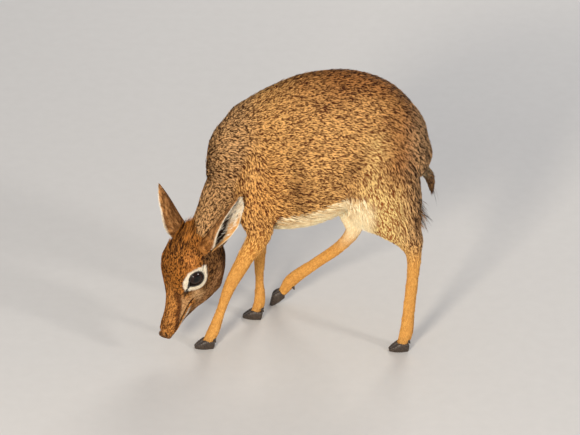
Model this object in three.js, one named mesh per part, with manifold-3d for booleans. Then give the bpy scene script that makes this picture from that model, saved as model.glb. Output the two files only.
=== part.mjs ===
// A life-size grazing dik-dik as a still model: closed faceted solids, one for each part of the body.
// Millimetres, +Z up. The animal faces -X, its left side faces -Y, and its hooves stand on z = 0.
import * as THREE from "three";
import { mergeVertices } from "three/addons/utils/BufferGeometryUtils.js";
import Module from "manifold-3d";

const wasm = await Module();
wasm.setup();

// Driving dimensions
const GAP = 0.3; // kept between touching parts
const BACK_HEIGHT = 405; // top of the arched back above the ground
const CHEST_WIDTH = 122;
const HEAD_LENGTH = 147; // poll to nose tip
const EYE_RADIUS = 11.5;
const CANNON_WIDTH = 13; // side to side, below the knee and hock
const HOOF_LENGTH = 27;

// Stance, as joint places
const LEFT = -1;
const RIGHT = 1;
const POLL = [-137, -13, 161];
const HEAD_YAW = THREE.MathUtils.degToRad(51); // turned to its left
const HEAD_PITCH = THREE.MathUtils.degToRad(59); // nose down
const HEAD_ROLL = THREE.MathUtils.degToRad(13);

const DOWN = new THREE.Vector3(0, 0, -1);
const vec = (p) => new THREE.Vector3(...p);
const mix = THREE.MathUtils.lerp;

// Solids and their boolean operations
function solid(geometry) {
  const bare = geometry.index ? geometry.clone() : geometry;
  bare.deleteAttribute("normal");
  bare.deleteAttribute("uv");
  const merged = mergeVertices(bare, 1e-4);
  const mesh = new wasm.Mesh({
    numProp: 3,
    vertProperties: new Float32Array(merged.attributes.position.array),
    triVerts: new Uint32Array(merged.index.array),
  });
  const made = new wasm.Manifold(mesh);
  if (made.volume() > 0) return made;
  mesh.triVerts.reverse();
  return new wasm.Manifold(mesh);
}

function largest(body) {
  return body.decompose().sort((a, b) => b.volume() - a.volume())[0];
}

function join(bodies) {
  return bodies.reduce((whole, one) => whole.add(one));
}

function geometryOf(body) {
  const { numProp, vertProperties, triVerts } = body.getMesh();
  const count = vertProperties.length / numProp;
  const places = new Float32Array(count * 3);
  for (let i = 0; i < count; i++)
    places.set(vertProperties.subarray(i * numProp, i * numProp + 3), i * 3);
  const geometry = new THREE.BufferGeometry();
  geometry.setAttribute("position", new THREE.BufferAttribute(places, 3));
  geometry.setIndex(new THREE.BufferAttribute(new Uint32Array(triVerts), 1));
  geometry.computeVertexNormals();
  return geometry;
}

// A ring of a limb or trunk: an oval with its own front and back depth.
// half is [side, front, back]; square above 2 makes it boxier; egg below 0 widens its back half.
function ovalRing(angle, [side, front, back], square, egg) {
  const c = Math.cos(angle);
  const s = Math.sin(angle);
  const bend = 2 / square;
  const across = side * Math.sign(c) * Math.abs(c) ** bend;
  const along = Math.sign(s) * Math.abs(s) ** bend;
  return [across * (1 + egg * along), (s > 0 ? front : back) * along];
}

const curveOf = (keys, pick) =>
  new THREE.CatmullRomCurve3(keys.map((k) => vec(pick(k))), false, "centripetal");

// Strings rings along a smooth spine through the keys and closes both ends.
// Each key is { at, half, square, egg, turn, level }: turn swings its front outwards in degrees,
// and level 1 keeps the ring level instead of square to the spine.
// from and to pick a stretch, counted in keys. A cap of 0 leaves that end flat, set back by inset,
// and any other length rounds it off.
function loft(keys, options) {
  const { sides = 16, rings = 12, side = [0, 1, 0], grow = 0, inset = 0, capRows = 3 } = options;
  const { from = 0, to = keys.length - 1, capFrom = 0, capTo = 0, mould } = options;
  const spine = curveOf(keys, (k) => k.at);
  const sizes = curveOf(keys, (k) => k.half);
  const traits = curveOf(keys, (k) => [k.square ?? 2, k.egg ?? 0, k.turn ?? 0]);
  const levels = curveOf(keys, (k) => [k.level ?? 0, 0, 0]);
  const last = keys.length - 1;
  const rows = [];
  const end = (t, cap, way) => {
    if (!cap) {
      const shift = way * (grow - inset);
      return [{ t, shift, scale: 0 }, { t, shift, scale: 1 }];
    }
    const steps = Array.from({ length: capRows + 1 }, (_, i) => (i / capRows) * (Math.PI / 2));
    return steps.map((turn) => ({ t, shift: way * (cap + grow) * Math.cos(turn), scale: Math.sin(turn) }));
  };
  rows.push(...end(from / last, capFrom, -1));
  for (let i = 1; i < rings; i++)
    rows.push({ t: mix(from, to, i / rings) / last, shift: 0, scale: 1 });
  rows.push(...end(to / last, capTo, 1).reverse());
  const geometry = new THREE.SphereGeometry(1, sides, rows.length - 1);
  const place = geometry.attributes.position;
  rows.forEach(({ t, shift, scale }, row) => {
    const tangent = spine.getTangent(THREE.MathUtils.clamp(t, 0.001, 0.999));
    const centre = spine.getPoint(t).addScaledVector(tangent, shift);
    tangent.lerp(DOWN, levels.getPoint(t).x).normalize();
    const trait = traits.getPoint(t);
    const across = vec(side).applyAxisAngle(DOWN, THREE.MathUtils.degToRad(trait.z));
    across.addScaledVector(tangent, -across.dot(tangent)).normalize();
    const front = new THREE.Vector3().crossVectors(across, tangent).normalize();
    const half = sizes.getPoint(t).toArray().map((h) => (h + grow) * scale);
    for (let column = 0; column <= sides; column++) {
      const angle = (2 * Math.PI * (column % sides)) / sides;
      const [x, y] = ovalRing(angle, half, trait.x, trait.y);
      const p = centre.clone().addScaledVector(across, x).addScaledVector(front, y);
      if (mould) mould(p);
      place.setXYZ(row * (sides + 1) + column, p.x, p.y, p.z);
    }
  });
  return solid(geometry);
}

// A flat tapered lock of hair, bent back towards where it lies
function lock(root, heading, normal, { length, width, lift, grow = 0 }) {
  const lie = heading.clone().normalize();
  const up = normal.clone().addScaledVector(lie, -normal.dot(lie)).normalize();
  const across = new THREE.Vector3().crossVectors(lie, up);
  const stations = [[-0.12, -0.08, 0.7], [0.3, 0.62, 1], [0.68, 0.95, 0.72], [1, 1, 0.16]];
  const keys = stations.map(([run, rise, taper]) => ({
    at: root.clone().addScaledVector(lie, run * length)
      .addScaledVector(up, rise * lift * length).toArray(),
    half: [taper * width * 0.5, taper * 1.1, taper * 1.1],
  }));
  return loft(keys, { sides: 4, rings: 4, side: across.toArray(), grow });
}

// Pushes a point as a thumb would in clay, fading with distance from each place
function press(p, thumbs) {
  const start = p.clone();
  for (const { at, reach, push } of thumbs) {
    const near = Math.exp(-start.distanceToSquared(at) / (reach * reach));
    p.addScaledVector(push, near);
  }
}

// Trunk
const TRUNK = [
  { at: [165, 0, 272], half: [27, 22, 32] },
  { at: [153, 0, 278], half: [40, 38, 46] },
  { at: [132, 0, 288], half: [50, 64, 60], egg: -0.04 },
  { at: [103, 0, 296], half: [57, 91, 80], egg: -0.08 },
  { at: [67, 0, 299], half: [60, BACK_HEIGHT - 299, 96], egg: -0.1 },
  { at: [27, 0, 294], half: [CHEST_WIDTH / 2 + 1, 107, 106], egg: -0.1 },
  { at: [-21, 0, 272], half: [CHEST_WIDTH / 2 - 3, 104, 104], egg: -0.1 },
  { at: [-53, 0, 258], half: [50, 99, 96], egg: -0.08 },
  { at: [-80, 0, 247], half: [42, 79, 84], egg: -0.04 },
  { at: [-98, 0, 238], half: [34, 58, 64] },
  { at: [-110, 0, 232], half: [25, 36, 42] },
];

function trunk(grow = 0) {
  return loft(TRUNK, { sides: 32, rings: 23, grow, capFrom: 9, capTo: 9 });
}

// Longer hair along the back of the belly, in flat locks on both sides
const FRINGE_LOCKS = 5;

function fringe(grow = 0) {
  return [LEFT, RIGHT].flatMap((hand) => Array.from({ length: FRINGE_LOCKS }, (_, i) => {
    const share = i / (FRINGE_LOCKS - 1);
    const root = vec([mix(0, 52, share), hand * mix(26, 33, share), mix(188, 213, share ** 1.5)]);
    const normal = vec([0, hand * 0.5, -0.85]);
    return lock(root, vec([1, hand * 0.02, 0.02]), normal, { length: 26, width: 12, lift: 0.05, grow });
  }));
}

// Neck
const NECK = [
  { at: [-60, 0, 262], half: [42, 48, 58] },
  { at: [-94, -1, 225], half: [31, 37, 46] },
  { at: [-114, -7, 189], half: [25, 29, 36] },
  { at: [-128, -15, 161], half: [24, 25, 30] },
];

function neck(grow = 0) {
  return loft(NECK, { sides: 24, rings: 9, grow, capFrom: 12, capTo: 14 });
}

// Head: its own axes run to the nose, to its left and to its crown
const toNose = vec([
  -Math.cos(HEAD_PITCH) * Math.cos(HEAD_YAW),
  -Math.cos(HEAD_PITCH) * Math.sin(HEAD_YAW),
  -Math.sin(HEAD_PITCH),
]);
const level = vec([Math.sin(HEAD_YAW), -Math.cos(HEAD_YAW), 0]);
const crownward = vec([
  -Math.sin(HEAD_PITCH) * Math.cos(HEAD_YAW),
  -Math.sin(HEAD_PITCH) * Math.sin(HEAD_YAW),
  Math.cos(HEAD_PITCH),
]);
const toLeft = level.clone().applyAxisAngle(toNose, HEAD_ROLL);
const toCrown = crownward.clone().applyAxisAngle(toNose, HEAD_ROLL);

function turned(along, left, up) {
  return new THREE.Vector3()
    .addScaledVector(toNose, along)
    .addScaledVector(toLeft, left)
    .addScaledVector(toCrown, up);
}
const inHead = (along, left, up) => vec(POLL).add(turned(along, left, up));

const headKey = (share, rise, half, egg = 0, square = 2) => ({
  at: inHead(share * HEAD_LENGTH, 0, rise).toArray(), half, egg, square,
});
const HEAD = [
  headKey(-0.08, -2, [19, 18, 18]),
  headKey(0.02, -3, [30, 32, 32]),
  headKey(0.14, -6, [36, 46, 43.5], 0.04),
  headKey(0.27, -8, [36.5, 46.5, 49.5], 0.08),
  headKey(0.39, -8, [34.5, 41.5, 54], 0.1),
  headKey(0.51, -8, [27, 33, 45], 0.1),
  headKey(0.63, -7, [19.5, 22.5, 28.5], 0.05),
  headKey(0.75, -5, [15, 16, 18]),
  headKey(0.87, -3, [12.2, 12, 12.3]),
  headKey(0.96, -2.5, [9.2, 8.5, 8.6], 0, 2.3),
];

// Where the skull and jaw stand proud or fall in, on both sides
const HEAD_THUMBS = [
  { spot: [44, 27, 17], reach: 13, push: [0, 2.6, 1.6] }, // brow
  { spot: [38, 27, -26], reach: 17, push: [0, 2.4, -1] }, // cheek
  { spot: [76, 18, 1], reach: 11, push: [0, -2.4, 0] }, // before the eye
  { spot: [70, 0, 17], reach: 12, push: [0, 0, -2.2] }, // stop of the forehead
  { spot: [62, 17, -33], reach: 13, push: [0, -1.5, 2.5] }, // under the jaw
  { spot: [129, 11, 1], reach: 10, push: [0, 1.8, 0.4] }, // side of the nose
  { spot: [144, 0, 3], reach: 9, push: [1.4, 0, 0.3] }, // nose tip
  { spot: [140, 0, -14], reach: 8, push: [-4.5, 0, 1] }, // chin set back
];
const headThumbs = HEAD_THUMBS.flatMap(({ spot: [along, left, up], reach, push }) => {
  const hands = left ? [1, -1] : [1];
  return hands.map((hand) => ({
    at: inHead(along, hand * left, up), reach, push: turned(push[0], hand * push[1], push[2]),
  }));
});

function head(grow = 0) {
  return loft(HEAD, {
    sides: 28, rings: 22, grow, capFrom: 8, capTo: 5.5,
    side: toLeft.clone().negate().toArray(),
    mould: (p) => press(p, headThumbs),
  });
}

// Crown tuft: flat locks that lie back between the ears
const CREST = [
  [36, 0], [31, 11], [31, -11], [22, 5], [22, -5], [18, 16], [18, -16],
  [9, 0], [8, 10], [8, -10], [-3, 5], [-3, -5],
];

function crest(grow = 0) {
  return CREST.map(([along, left]) => {
    const slope = mix(-0.32, -0.05, (along + 3) / 39);
    const crown = 38.5 - 0.022 * left ** 2 - 0.009 * (along - 34) ** 2;
    const root = inHead(along, left, crown - 4);
    const heading = turned(-1, left * 0.006, slope);
    return lock(root, heading, toCrown, { length: 25, width: 12, lift: 0.1, grow });
  });
}

// Legs, each from its top to the end of its pastern
function between(a, b, share) {
  return a.map((n, i) => mix(n, b[i], share));
}

function foreLeg(hand, elbow, knee, fetlock, toe) {
  const [ex, ey, ez] = elbow;
  return [
    { at: [-34, hand * 30, 334], half: [11, 20, 20] },
    { at: [-53, hand * 35, 292], half: [15, 24, 32] },
    { at: [mix(-66, ex, 0.3), hand * 37, 246], half: [18, 26, 36] },
    { at: [mix(-66, ex, 0.6), hand * 39, 208], half: [17.5, 24, 29] },
    { at: [ex, ey, ez], half: [13.5, 17, 19] },
    { at: between(elbow, knee, 0.45), half: [10.5, 12, 12] },
    { at: knee, half: [8.2, 8.8, 8.4] },
    { at: between(knee, fetlock, 0.5), half: [CANNON_WIDTH / 2 - 0.5, 6.8, 6.8] },
    { at: fetlock, half: [7.6, 8.2, 8.8] },
    { at: toe, half: [7, 6, 6.6] },
  ];
}

const HIND_SIZES = [
  { half: [12, 30, 24] },
  { half: [21, 44, 36] },
  { half: [25, 54, 46] },
  { half: [24, 51, 51], level: 1 },
  { half: [21, 50, 49], level: 1 },
  { half: [15.5, 34.5, 34], level: 1 },
  { half: [11.5, 20, 20], level: 0.8 },
  { half: [9, 12, 12.5] },
  { half: [7, 9, 9] },
  { half: [CANNON_WIDTH / 2, 9, 9] },
  { half: [8.2, 9.8, 10] },
  { half: [7.2, 6.2, 7] },
];

function hindLeg(hand, spots) {
  return spots.map((at, i) => ({ at, turn: hand * Math.max(0, 16 - 3 * i), ...HIND_SIZES[i] }));
}

const LEGS = {
  fore_left: foreLeg(LEFT, [-56, -42, 180], [-95, -41.5, 97], [-119, -40, 24], [-127, -39, 9]),
  fore_right: foreLeg(RIGHT, [-52, 41, 180], [-55, 38.5, 96], [-56, 38, 25], [-62, 38, 9]),
  hind_left: hindLeg(LEFT, [
    [124, -27, 324], [121, -35, 291], [117, -40, 257], [113, -42.5, 228], [114, -44, 208],
    [129, -46, 188], [146, -47.5, 171], [152, -48, 153], [152, -48, 122], [148, -47, 70],
    [144, -46, 26], [138, -46, 10],
  ]),
  hind_right: hindLeg(RIGHT, [
    [118, 27, 324], [110, 35, 291], [99, 40, 257], [86, 42.5, 228], [78, 44, 206],
    [73, 44, 182], [73, 43, 158], [73, 42, 139], [57, 45.5, 112], [22, 57.5, 76],
    [-11, 67.5, 43], [-24.5, 71.3, 21],
  ]),
};

function legStretch(name, from, to, grow = 0) {
  const first = from === 0;
  return loft(LEGS[name], {
    sides: first ? 20 : 14, rings: Math.round((to - from) * 2.2), from, to, grow,
    inset: grow ? 0 : GAP / 2, capFrom: first ? 8 : 0,
  });
}

const FRONT_CUTS = { upper: [0, 4], forearm: [4, 6], cannon: [6, 8], pastern: [8, 9] };
const REAR_CUTS = { thigh: [0, 4], shank: [4, 7], cannon: [7, 10], pastern: [10, 11] };

// Eyes, each seen through the almond between its lids
const LID = 1.6;
const EYE_TILT = THREE.MathUtils.degToRad(-4);
const eyeSpot = (hand) => inHead(49.5, hand * 20.5, 5.9);
const eyeAxis = (hand) => turned(0.26, hand * 0.94, 0.22).normalize();

function ball(centre, radius, width = 18) {
  const sphere = new THREE.SphereGeometry(radius, width, Math.round(width * 0.6));
  return solid(sphere.translate(centre.x, centre.y, centre.z));
}

function lidOpening(hand) {
  const [long, tall] = [EYE_RADIUS * 0.88, EYE_RADIUS * 0.7];
  const almond = new THREE.Shape();
  almond.moveTo(-long, 0);
  almond.quadraticCurveTo(-long * 0.7, tall, 0, tall);
  almond.quadraticCurveTo(long * 0.6, tall * 0.9, long * 1.15, tall * 0.1);
  almond.quadraticCurveTo(long * 0.8, -tall * 0.9, 0, -tall * 1.15);
  almond.quadraticCurveTo(-long * 0.7, -tall * 1.15, -long, 0);
  const prism = new THREE.ExtrudeGeometry(almond, { depth: 20, bevelEnabled: false, curveSegments: 5 });
  const out = eyeAxis(hand);
  const forward = toNose.clone().applyAxisAngle(toLeft, EYE_TILT);
  forward.addScaledVector(out, -forward.dot(out)).normalize();
  const upward = new THREE.Vector3().crossVectors(forward, out).multiplyScalar(hand);
  const basis = new THREE.Matrix4().makeBasis(forward, upward, out);
  prism.applyMatrix4(basis.setPosition(eyeSpot(hand)));
  return solid(prism);
}

// Mouth: a thin curved blade across the muzzle marks its line
const MOUTH = [[80, -9], [87, -6.5], [96, -6.5], [106, -7], [118, -7], [132, -6.5], [152, -7]];

function mouthBlade(thick) {
  const line = new THREE.SplineCurve(MOUTH.map(([along, up]) => new THREE.Vector2(along, up)));
  const points = line.getPoints(12);
  const shape = new THREE.Shape();
  points.forEach((p, i) => {
    const slim = i === 0 ? 0.4 : 1;
    if (i) shape.lineTo(p.x, p.y + thick / 2);
    else shape.moveTo(p.x, p.y + (thick * slim) / 2);
  });
  points.reverse().forEach((p) => shape.lineTo(p.x, p.y - thick / 2));
  shape.closePath();
  const plate = new THREE.ExtrudeGeometry(shape, { depth: 60, bevelEnabled: false });
  plate.translate(0, 0, -30);
  const basis = new THREE.Matrix4().makeBasis(toNose, toCrown, toLeft.clone().negate());
  plate.applyMatrix4(basis.setPosition(vec(POLL)));
  return solid(plate);
}

// A slit or pit: a ball stretched along one way and sunk into the skin
function slit(centre, heading, out, [long, wide, deep]) {
  const ballGeometry = new THREE.SphereGeometry(1, 10, 6);
  const lie = heading.clone().addScaledVector(out, -heading.dot(out)).normalize();
  const across = new THREE.Vector3().crossVectors(out, lie);
  const basis = new THREE.Matrix4().makeBasis(lie, across, out);
  ballGeometry.scale(long, wide, deep).applyMatrix4(basis.setPosition(centre));
  return solid(ballGeometry);
}

// Ears: a leaf-shaped cup, nearly a tube at its root.
// curl is the radius it is rolled to, and open half the angle its wall covers.
const EAR = [
  { share: 0, curl: 10, open: 150, thick: 2.6 },
  { share: 0.12, curl: 11, open: 140, thick: 2.6 },
  { share: 0.24, curl: 13, open: 125, thick: 2.4 },
  { share: 0.38, curl: 17, open: 98, thick: 2 },
  { share: 0.56, curl: 20.5, open: 76, thick: 1.8 },
  { share: 0.73, curl: 19, open: 62, thick: 1.6 },
  { share: 0.88, curl: 13.5, open: 56, thick: 1.4 },
  { share: 0.96, curl: 8, open: 46, thick: 1.3 },
  { share: 1, curl: 4, open: 32, thick: 1.1 },
];

function ear(root, tip, facing) {
  const steps = 11;
  const columns = 9;
  const field = (name) => curveOf(EAR, (k) => [k.share, k[name], 0]);
  const [curls, opens, thicks] = [field("curl"), field("open"), field("thick")];
  const along = tip.clone().sub(root).normalize();
  const out = facing.clone().addScaledVector(along, -facing.dot(along)).normalize();
  const across = new THREE.Vector3().crossVectors(along, out);
  const points = [];
  const wall = 2 * columns;
  for (let row = 0; row <= steps; row++) {
    const t = row / steps;
    const { x: share, y: curl } = curls.getPoint(t);
    const open = THREE.MathUtils.degToRad(opens.getPoint(t).y);
    const thick = thicks.getPoint(t).y;
    const spine = root.clone().lerp(tip, share)
      .addScaledVector(out, -EAR[0].curl * (1 - share));
    for (let column = 0; column < wall; column++) {
      const outer = column < columns;
      const sweep = mix(-1, 1, (outer ? column : wall - 1 - column) / (columns - 1));
      const edge = 1 - 0.55 * sweep ** 4;
      const radius = curl + (outer ? 0.5 : -0.5) * thick * edge;
      const p = spine.clone()
        .addScaledVector(out, curl - radius * Math.cos(sweep * open))
        .addScaledVector(across, radius * Math.sin(sweep * open));
      points.push(p);
    }
  }
  const faces = [];
  for (let row = 0; row < steps; row++) {
    for (let column = 0; column < wall; column++) {
      const a = row * wall + column;
      const b = row * wall + ((column + 1) % wall);
      faces.push(a, b, a + wall, b, b + wall, a + wall);
    }
  }
  for (const [start, flip] of [[0, false], [steps * wall, true]]) {
    for (let column = 0; column < columns - 1; column++) {
      const [a, b] = [start + column, start + column + 1];
      const [c, d] = [start + wall - 1 - column, start + wall - 2 - column];
      faces.push(...(flip ? [a, b, c, b, d, c] : [b, a, c, d, b, c]));
    }
  }
  const geometry = new THREE.BufferGeometry().setFromPoints(points);
  geometry.setIndex(faces);
  return solid(geometry);
}

// Hooves: two pointed claws on each foot, cut flat at the ground
const CLAW_GAP = 0.4;
const GROUND = solid(new THREE.BoxGeometry(600, 600, 40).translate(0, 0, -20));
const CLAW = [
  { at: [-8, 5.4], half: [3.7, 7.4, 5.8] },
  { at: [0, 6.4], half: [4.2, 8, 7] },
  { at: [9, 4.6], half: [3.6, 4.6, 5.2] },
  { at: [HOOF_LENGTH - 11, 2.3], half: [1.8, 2, 2.7] },
];
const FEET = {
  fore_left: { toe: [-127, -39, -0.4], heading: 0.1, dip: 0 },
  fore_right: { toe: [-62, 38, -0.4], heading: -0.1, dip: 0 },
  hind_left: { toe: [138, -46, -0.4], heading: 0.1, dip: 0 },
  hind_right: { toe: [-26.5, 71.5, 9.4], heading: -0.1, dip: 0.72 },
};

function claw({ toe, heading, dip }, hand) {
  const forward = new THREE.Vector3(-Math.cos(heading) * Math.cos(dip),
    -Math.sin(heading) * Math.cos(dip), -Math.sin(dip));
  const across = new THREE.Vector3(-Math.sin(heading), Math.cos(heading), 0);
  const upward = new THREE.Vector3().crossVectors(across, forward);
  const keys = CLAW.map(({ at: [along, up], half }) => ({
    at: vec(toe).addScaledVector(forward, along).addScaledVector(upward, up)
      .addScaledVector(across, hand * (half[0] + CLAW_GAP / 2)).toArray(),
    half,
    square: 2.8,
  }));
  const body = loft(keys, { sides: 10, rings: 5, side: across.toArray(), capFrom: 2.5, capTo: 1, capRows: 2 });
  return body.subtract(GROUND);
}

// Two small dewclaws behind each fetlock
function dewclaws(name) {
  const keys = LEGS[name];
  const fetlock = keys[keys.length - 2];
  const down = vec(keys[keys.length - 1].at).sub(vec(fetlock.at)).normalize();
  const back = new THREE.Vector3(0, 1, 0).cross(down).normalize();
  if (back.x < 0) back.negate();
  return [-1, 1].map((hand) => {
    const root = vec(fetlock.at).addScaledVector(down, 6)
      .addScaledVector(back, 5).add(vec([0, hand * 4.2, 0]));
    const tip = root.clone().addScaledVector(back, 5).addScaledVector(down, 4);
    const path = [{ at: root.toArray(), half: [2.2, 2.4, 2.4] }, { at: tip.toArray(), half: [1.1, 1, 1] }];
    return loft(path, { sides: 6, rings: 1, capTo: 0.8, capRows: 1 });
  });
}

const TAIL = [
  { at: [156, 0, 262], half: [10, 9, 9] },
  { at: [169, 0, 253], half: [9.5, 8, 8] },
  { at: [175, 0, 239], half: [7.5, 6, 6] },
  { at: [176.5, 0, 226], half: [4.5, 3.8, 3.8] },
];

const FUR = 0x9a744a;
const TAN = 0xb27a42;
const PALE = 0xcdb48c;
const HORN = 0x2a221c;
const DARK = 0x0a0807;

const group = new THREE.Group();
function add(name, body, colour, roughness = 0.85) {
  const material = new THREE.MeshStandardMaterial({ color: colour, roughness, metalness: 0 });
  const mesh = new THREE.Mesh(geometryOf(largest(body)), material);
  mesh.name = name;
  group.add(mesh);
}

add("torso", join([trunk(), ...fringe()]), FUR);
add("neck", neck().subtract(join([trunk(GAP), head(GAP), ...crest(GAP)])), FUR);

// Head, with its lids, mouth, lips, nostrils, glands before the eyes and crown tuft
let face = head();
for (const hand of [1, -1]) face = face.add(ball(eyeSpot(hand), EYE_RADIUS + LID, 14));
face = face.add(head(0.9).intersect(mouthBlade(5.5)));
face = face.subtract(mouthBlade(1.3).subtract(head(-2)));
for (const hand of [1, -1]) {
  face = face.subtract(lidOpening(hand));
  face = face.subtract(ball(eyeSpot(hand), EYE_RADIUS + GAP));
  const nostril = inHead(141, hand * 8.5, 2.5);
  face = face.subtract(slit(nostril, turned(-0.8, 0, 0.6), turned(0.5, hand * 0.85, 0), [4.6, 1.3, 2.4]));
  const gland = inHead(76.5, hand * 21.3, 4.6);
  face = face.subtract(slit(gland, turned(0.9, 0, -0.3), turned(0.2, hand, 0), [4.4, 1.2, 2.2]));
}
face = join([face, ...crest()]);
add("head", face, FUR);
for (const [hand, word] of [[1, "left"], [-1, "right"]])
  add(`eye_${word}`, ball(eyeSpot(hand), EYE_RADIUS), DARK, 0.1);

const EARS = {
  left: ear(inHead(11.3, 29.5, 7.5), inHead(-73.3, 87.7, 33.7), vec([0.75, -0.66, -0.02])),
  right: ear(inHead(15.6, -16.6, -1.6), inHead(-50, -21.5, 76), turned(0.36, -0.7, 0.61)),
};
for (const [word, body] of Object.entries(EARS))
  add(`ear_${word}`, body.subtract(join([head(GAP), neck(GAP), ...crest(GAP)])), FUR);

for (const name of Object.keys(LEGS)) {
  const cuts = name.startsWith("fore") ? FRONT_CUTS : REAR_CUTS;
  for (const [part, [from, to]] of Object.entries(cuts)) {
    let piece = legStretch(name, from, to);
    if (from < 6) piece = piece.subtract(join([trunk(GAP), neck(GAP), ...fringe(GAP)]));
    if (part === "pastern") piece = join([piece, ...dewclaws(name)]);
    add(`${part}_${name}`, piece, from === 0 ? FUR : TAN);
  }
}
for (const [name, foot] of Object.entries(FEET)) {
  const cuts = name.startsWith("fore") ? FRONT_CUTS : REAR_CUTS;
  const socket = join([legStretch(name, ...cuts.pastern, GAP), ...dewclaws(name)]);
  for (const [hand, word] of [[1, "right"], [-1, "left"]])
    add(`hoof_${name}_${word}`, claw(foot, hand).subtract(socket), HORN, 0.5);
}
const tail = loft(TAIL, { sides: 12, rings: 6, capTo: 5 });
add("tail", tail.subtract(trunk(GAP)), PALE);

// The footprint's middle becomes the origin
const box = new THREE.Box3().setFromObject(group);
const middle = box.getCenter(new THREE.Vector3());
for (const mesh of group.children) mesh.geometry.translate(-middle.x, -middle.y, 0);

export default group;
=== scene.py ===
"""A life-size grazing dik-dik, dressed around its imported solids.

One skin takes the place of the nodes of flesh. Tufts of solid mesh lie over it along the coat, and the eyes,
lids, ears and hooves are pieces of their own. Places are worked out in millimetres, and are turned to metres
when a piece is made. The animal faces -X and its left side faces -Y.
"""

import math

import bmesh
import bpy
import numpy as np
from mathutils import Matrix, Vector
from mathutils.bvhtree import BVHTree


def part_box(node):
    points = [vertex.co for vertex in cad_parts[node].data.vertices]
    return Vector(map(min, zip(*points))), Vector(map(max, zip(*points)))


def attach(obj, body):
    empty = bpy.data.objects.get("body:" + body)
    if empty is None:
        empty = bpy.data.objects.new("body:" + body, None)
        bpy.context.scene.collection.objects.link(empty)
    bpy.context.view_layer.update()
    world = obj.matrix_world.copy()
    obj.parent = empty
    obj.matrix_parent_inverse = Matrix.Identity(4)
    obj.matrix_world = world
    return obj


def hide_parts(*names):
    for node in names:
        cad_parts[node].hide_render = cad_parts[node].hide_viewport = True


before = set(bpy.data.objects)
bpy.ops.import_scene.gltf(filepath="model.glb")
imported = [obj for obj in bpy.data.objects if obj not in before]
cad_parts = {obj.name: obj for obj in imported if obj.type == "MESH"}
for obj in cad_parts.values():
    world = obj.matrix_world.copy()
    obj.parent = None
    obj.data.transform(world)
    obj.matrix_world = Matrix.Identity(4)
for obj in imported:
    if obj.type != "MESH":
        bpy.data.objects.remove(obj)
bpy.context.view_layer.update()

# Driving sizes, in millimetres
BACK_HEIGHT = 405
CHEST_WIDTH = 122
HEAD_LENGTH = 147
EYE_RADIUS = 11.5
LID = 1.6
CANNON_WIDTH = 13
HOOF_LENGTH = 27
EAR_LENGTH = 100
LEFT, RIGHT = -1, 1
POLL = np.array([-137.0, -13.0, 161.0])
HEAD_YAW = math.radians(51)
HEAD_PITCH = math.radians(59)
HEAD_ROLL = math.radians(13)
EYE_TILT = math.radians(-4)

BODY_VOXEL = 2.2
FACE_RADIUS = 92  # round the middle of the face, where the skin is made finer
FILL_ROUNDS, EVEN_ROUNDS = 26, 4  # of smoothing, first in the creases and then everywhere
HOLLOW_PULL, SWELL_PULL, EVEN_PULL = 0.6, 0.12, 0.45
LIE_ROUNDS, TONE_ROUNDS = 24, 10  # of spreading the coat's lie and its colours over the skin
MOST_SHORT, MOST_LONG = 94000, 38000  # tufts in one piece, which keep it under 190,000 triangles
ROOT_PATCH = 0.003  # each tuft's patch of the bake's map, as a share of the map
PATCH_LOW, PATCH_SPAN = 0.005, 0.985
PATCH_ENDS = (0.002, 0.994)
SEED = 7


# Small tools on rows of vectors

def unit(v):
    v = np.asarray(v, float)
    return v / np.maximum(np.linalg.norm(v, axis=-1, keepdims=True), 1e-12)


def mix(a, b, share):
    return a + (b - a) * share


def smooth(low, high, x):
    t = np.clip((np.asarray(x, float) - low) / (high - low), 0, 1)
    return t * t * (3 - 2 * t)


def bell(*spans, power=2):
    """1 in the middle and falling away. Each span is a distance from the middle and the bell's reach."""
    return np.exp(-sum((off / reach) ** power for off, reach in spans))


def across_to(v, normal):
    """v with its share along normal taken out, at length 1."""
    return unit(v - np.sum(v * normal, -1, keepdims=True) * normal)


def rotated(v, axis, angle):
    v, axis = np.asarray(v, float), unit(axis)
    return (v * math.cos(angle) + np.cross(axis, v) * math.sin(angle)
            + axis * np.dot(axis, v) * (1 - math.cos(angle)))


def lattice(cells, salt):
    """A number from 0 to 1 for each whole-number cell."""
    n = cells.astype(np.int64)
    h = n[..., 0] * 73856093 ^ n[..., 1] * 19349663 ^ n[..., 2] * 83492791 ^ salt * 2654435761
    h = (h ^ (h >> 13)) * 1274126177 & 0x7FFFFFFF
    return ((h ^ (h >> 16)) & 0xFFFF) / 65535


def noise(points, size, salt=0):
    """Smooth noise from 0 to 1, with lumps about as large as size."""
    p = np.asarray(points, float) / size
    cell = np.floor(p)
    f = p - cell
    f = f * f * (3 - 2 * f)
    total = 0
    for corner in range(8):
        step = np.array([corner & 1, corner >> 1 & 1, corner >> 2 & 1])
        weight = np.prod(np.where(step, f, 1 - f), -1)
        total = total + weight * lattice(cell + step, salt)
    return total


# Curves and lofts, as in the part's source

def curve(points):
    """A smooth curve through points, as a function of the share of its length."""
    p = np.array(points, float)
    ends = np.vstack([2 * p[0] - p[1], p, 2 * p[-1] - p[-2]])

    def at(t):
        t = np.clip(np.atleast_1d(np.asarray(t, float)), 0, 1) * (len(p) - 1)
        i = np.minimum(t.astype(int), len(p) - 2)
        w = (t - i)[:, None]
        a, b, c, d = ends[i], ends[i + 1], ends[i + 2], ends[i + 3]
        span = [np.maximum(np.sum((y - x) ** 2, 1) ** 0.25, 1e-4)[:, None]
                for x, y in ((a, b), (b, c), (c, d))]
        first = ((b - a) / span[0] - (c - a) / (span[0] + span[1]) + (c - b) / span[1]) * span[1]
        last = ((c - b) / span[1] - (d - b) / (span[1] + span[2]) + (d - c) / span[2]) * span[1]
        return (b + first * w + (-3 * b + 3 * c - 2 * first - last) * w ** 2
                + (2 * b - 2 * c + first + last) * w ** 3)

    return at


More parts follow.
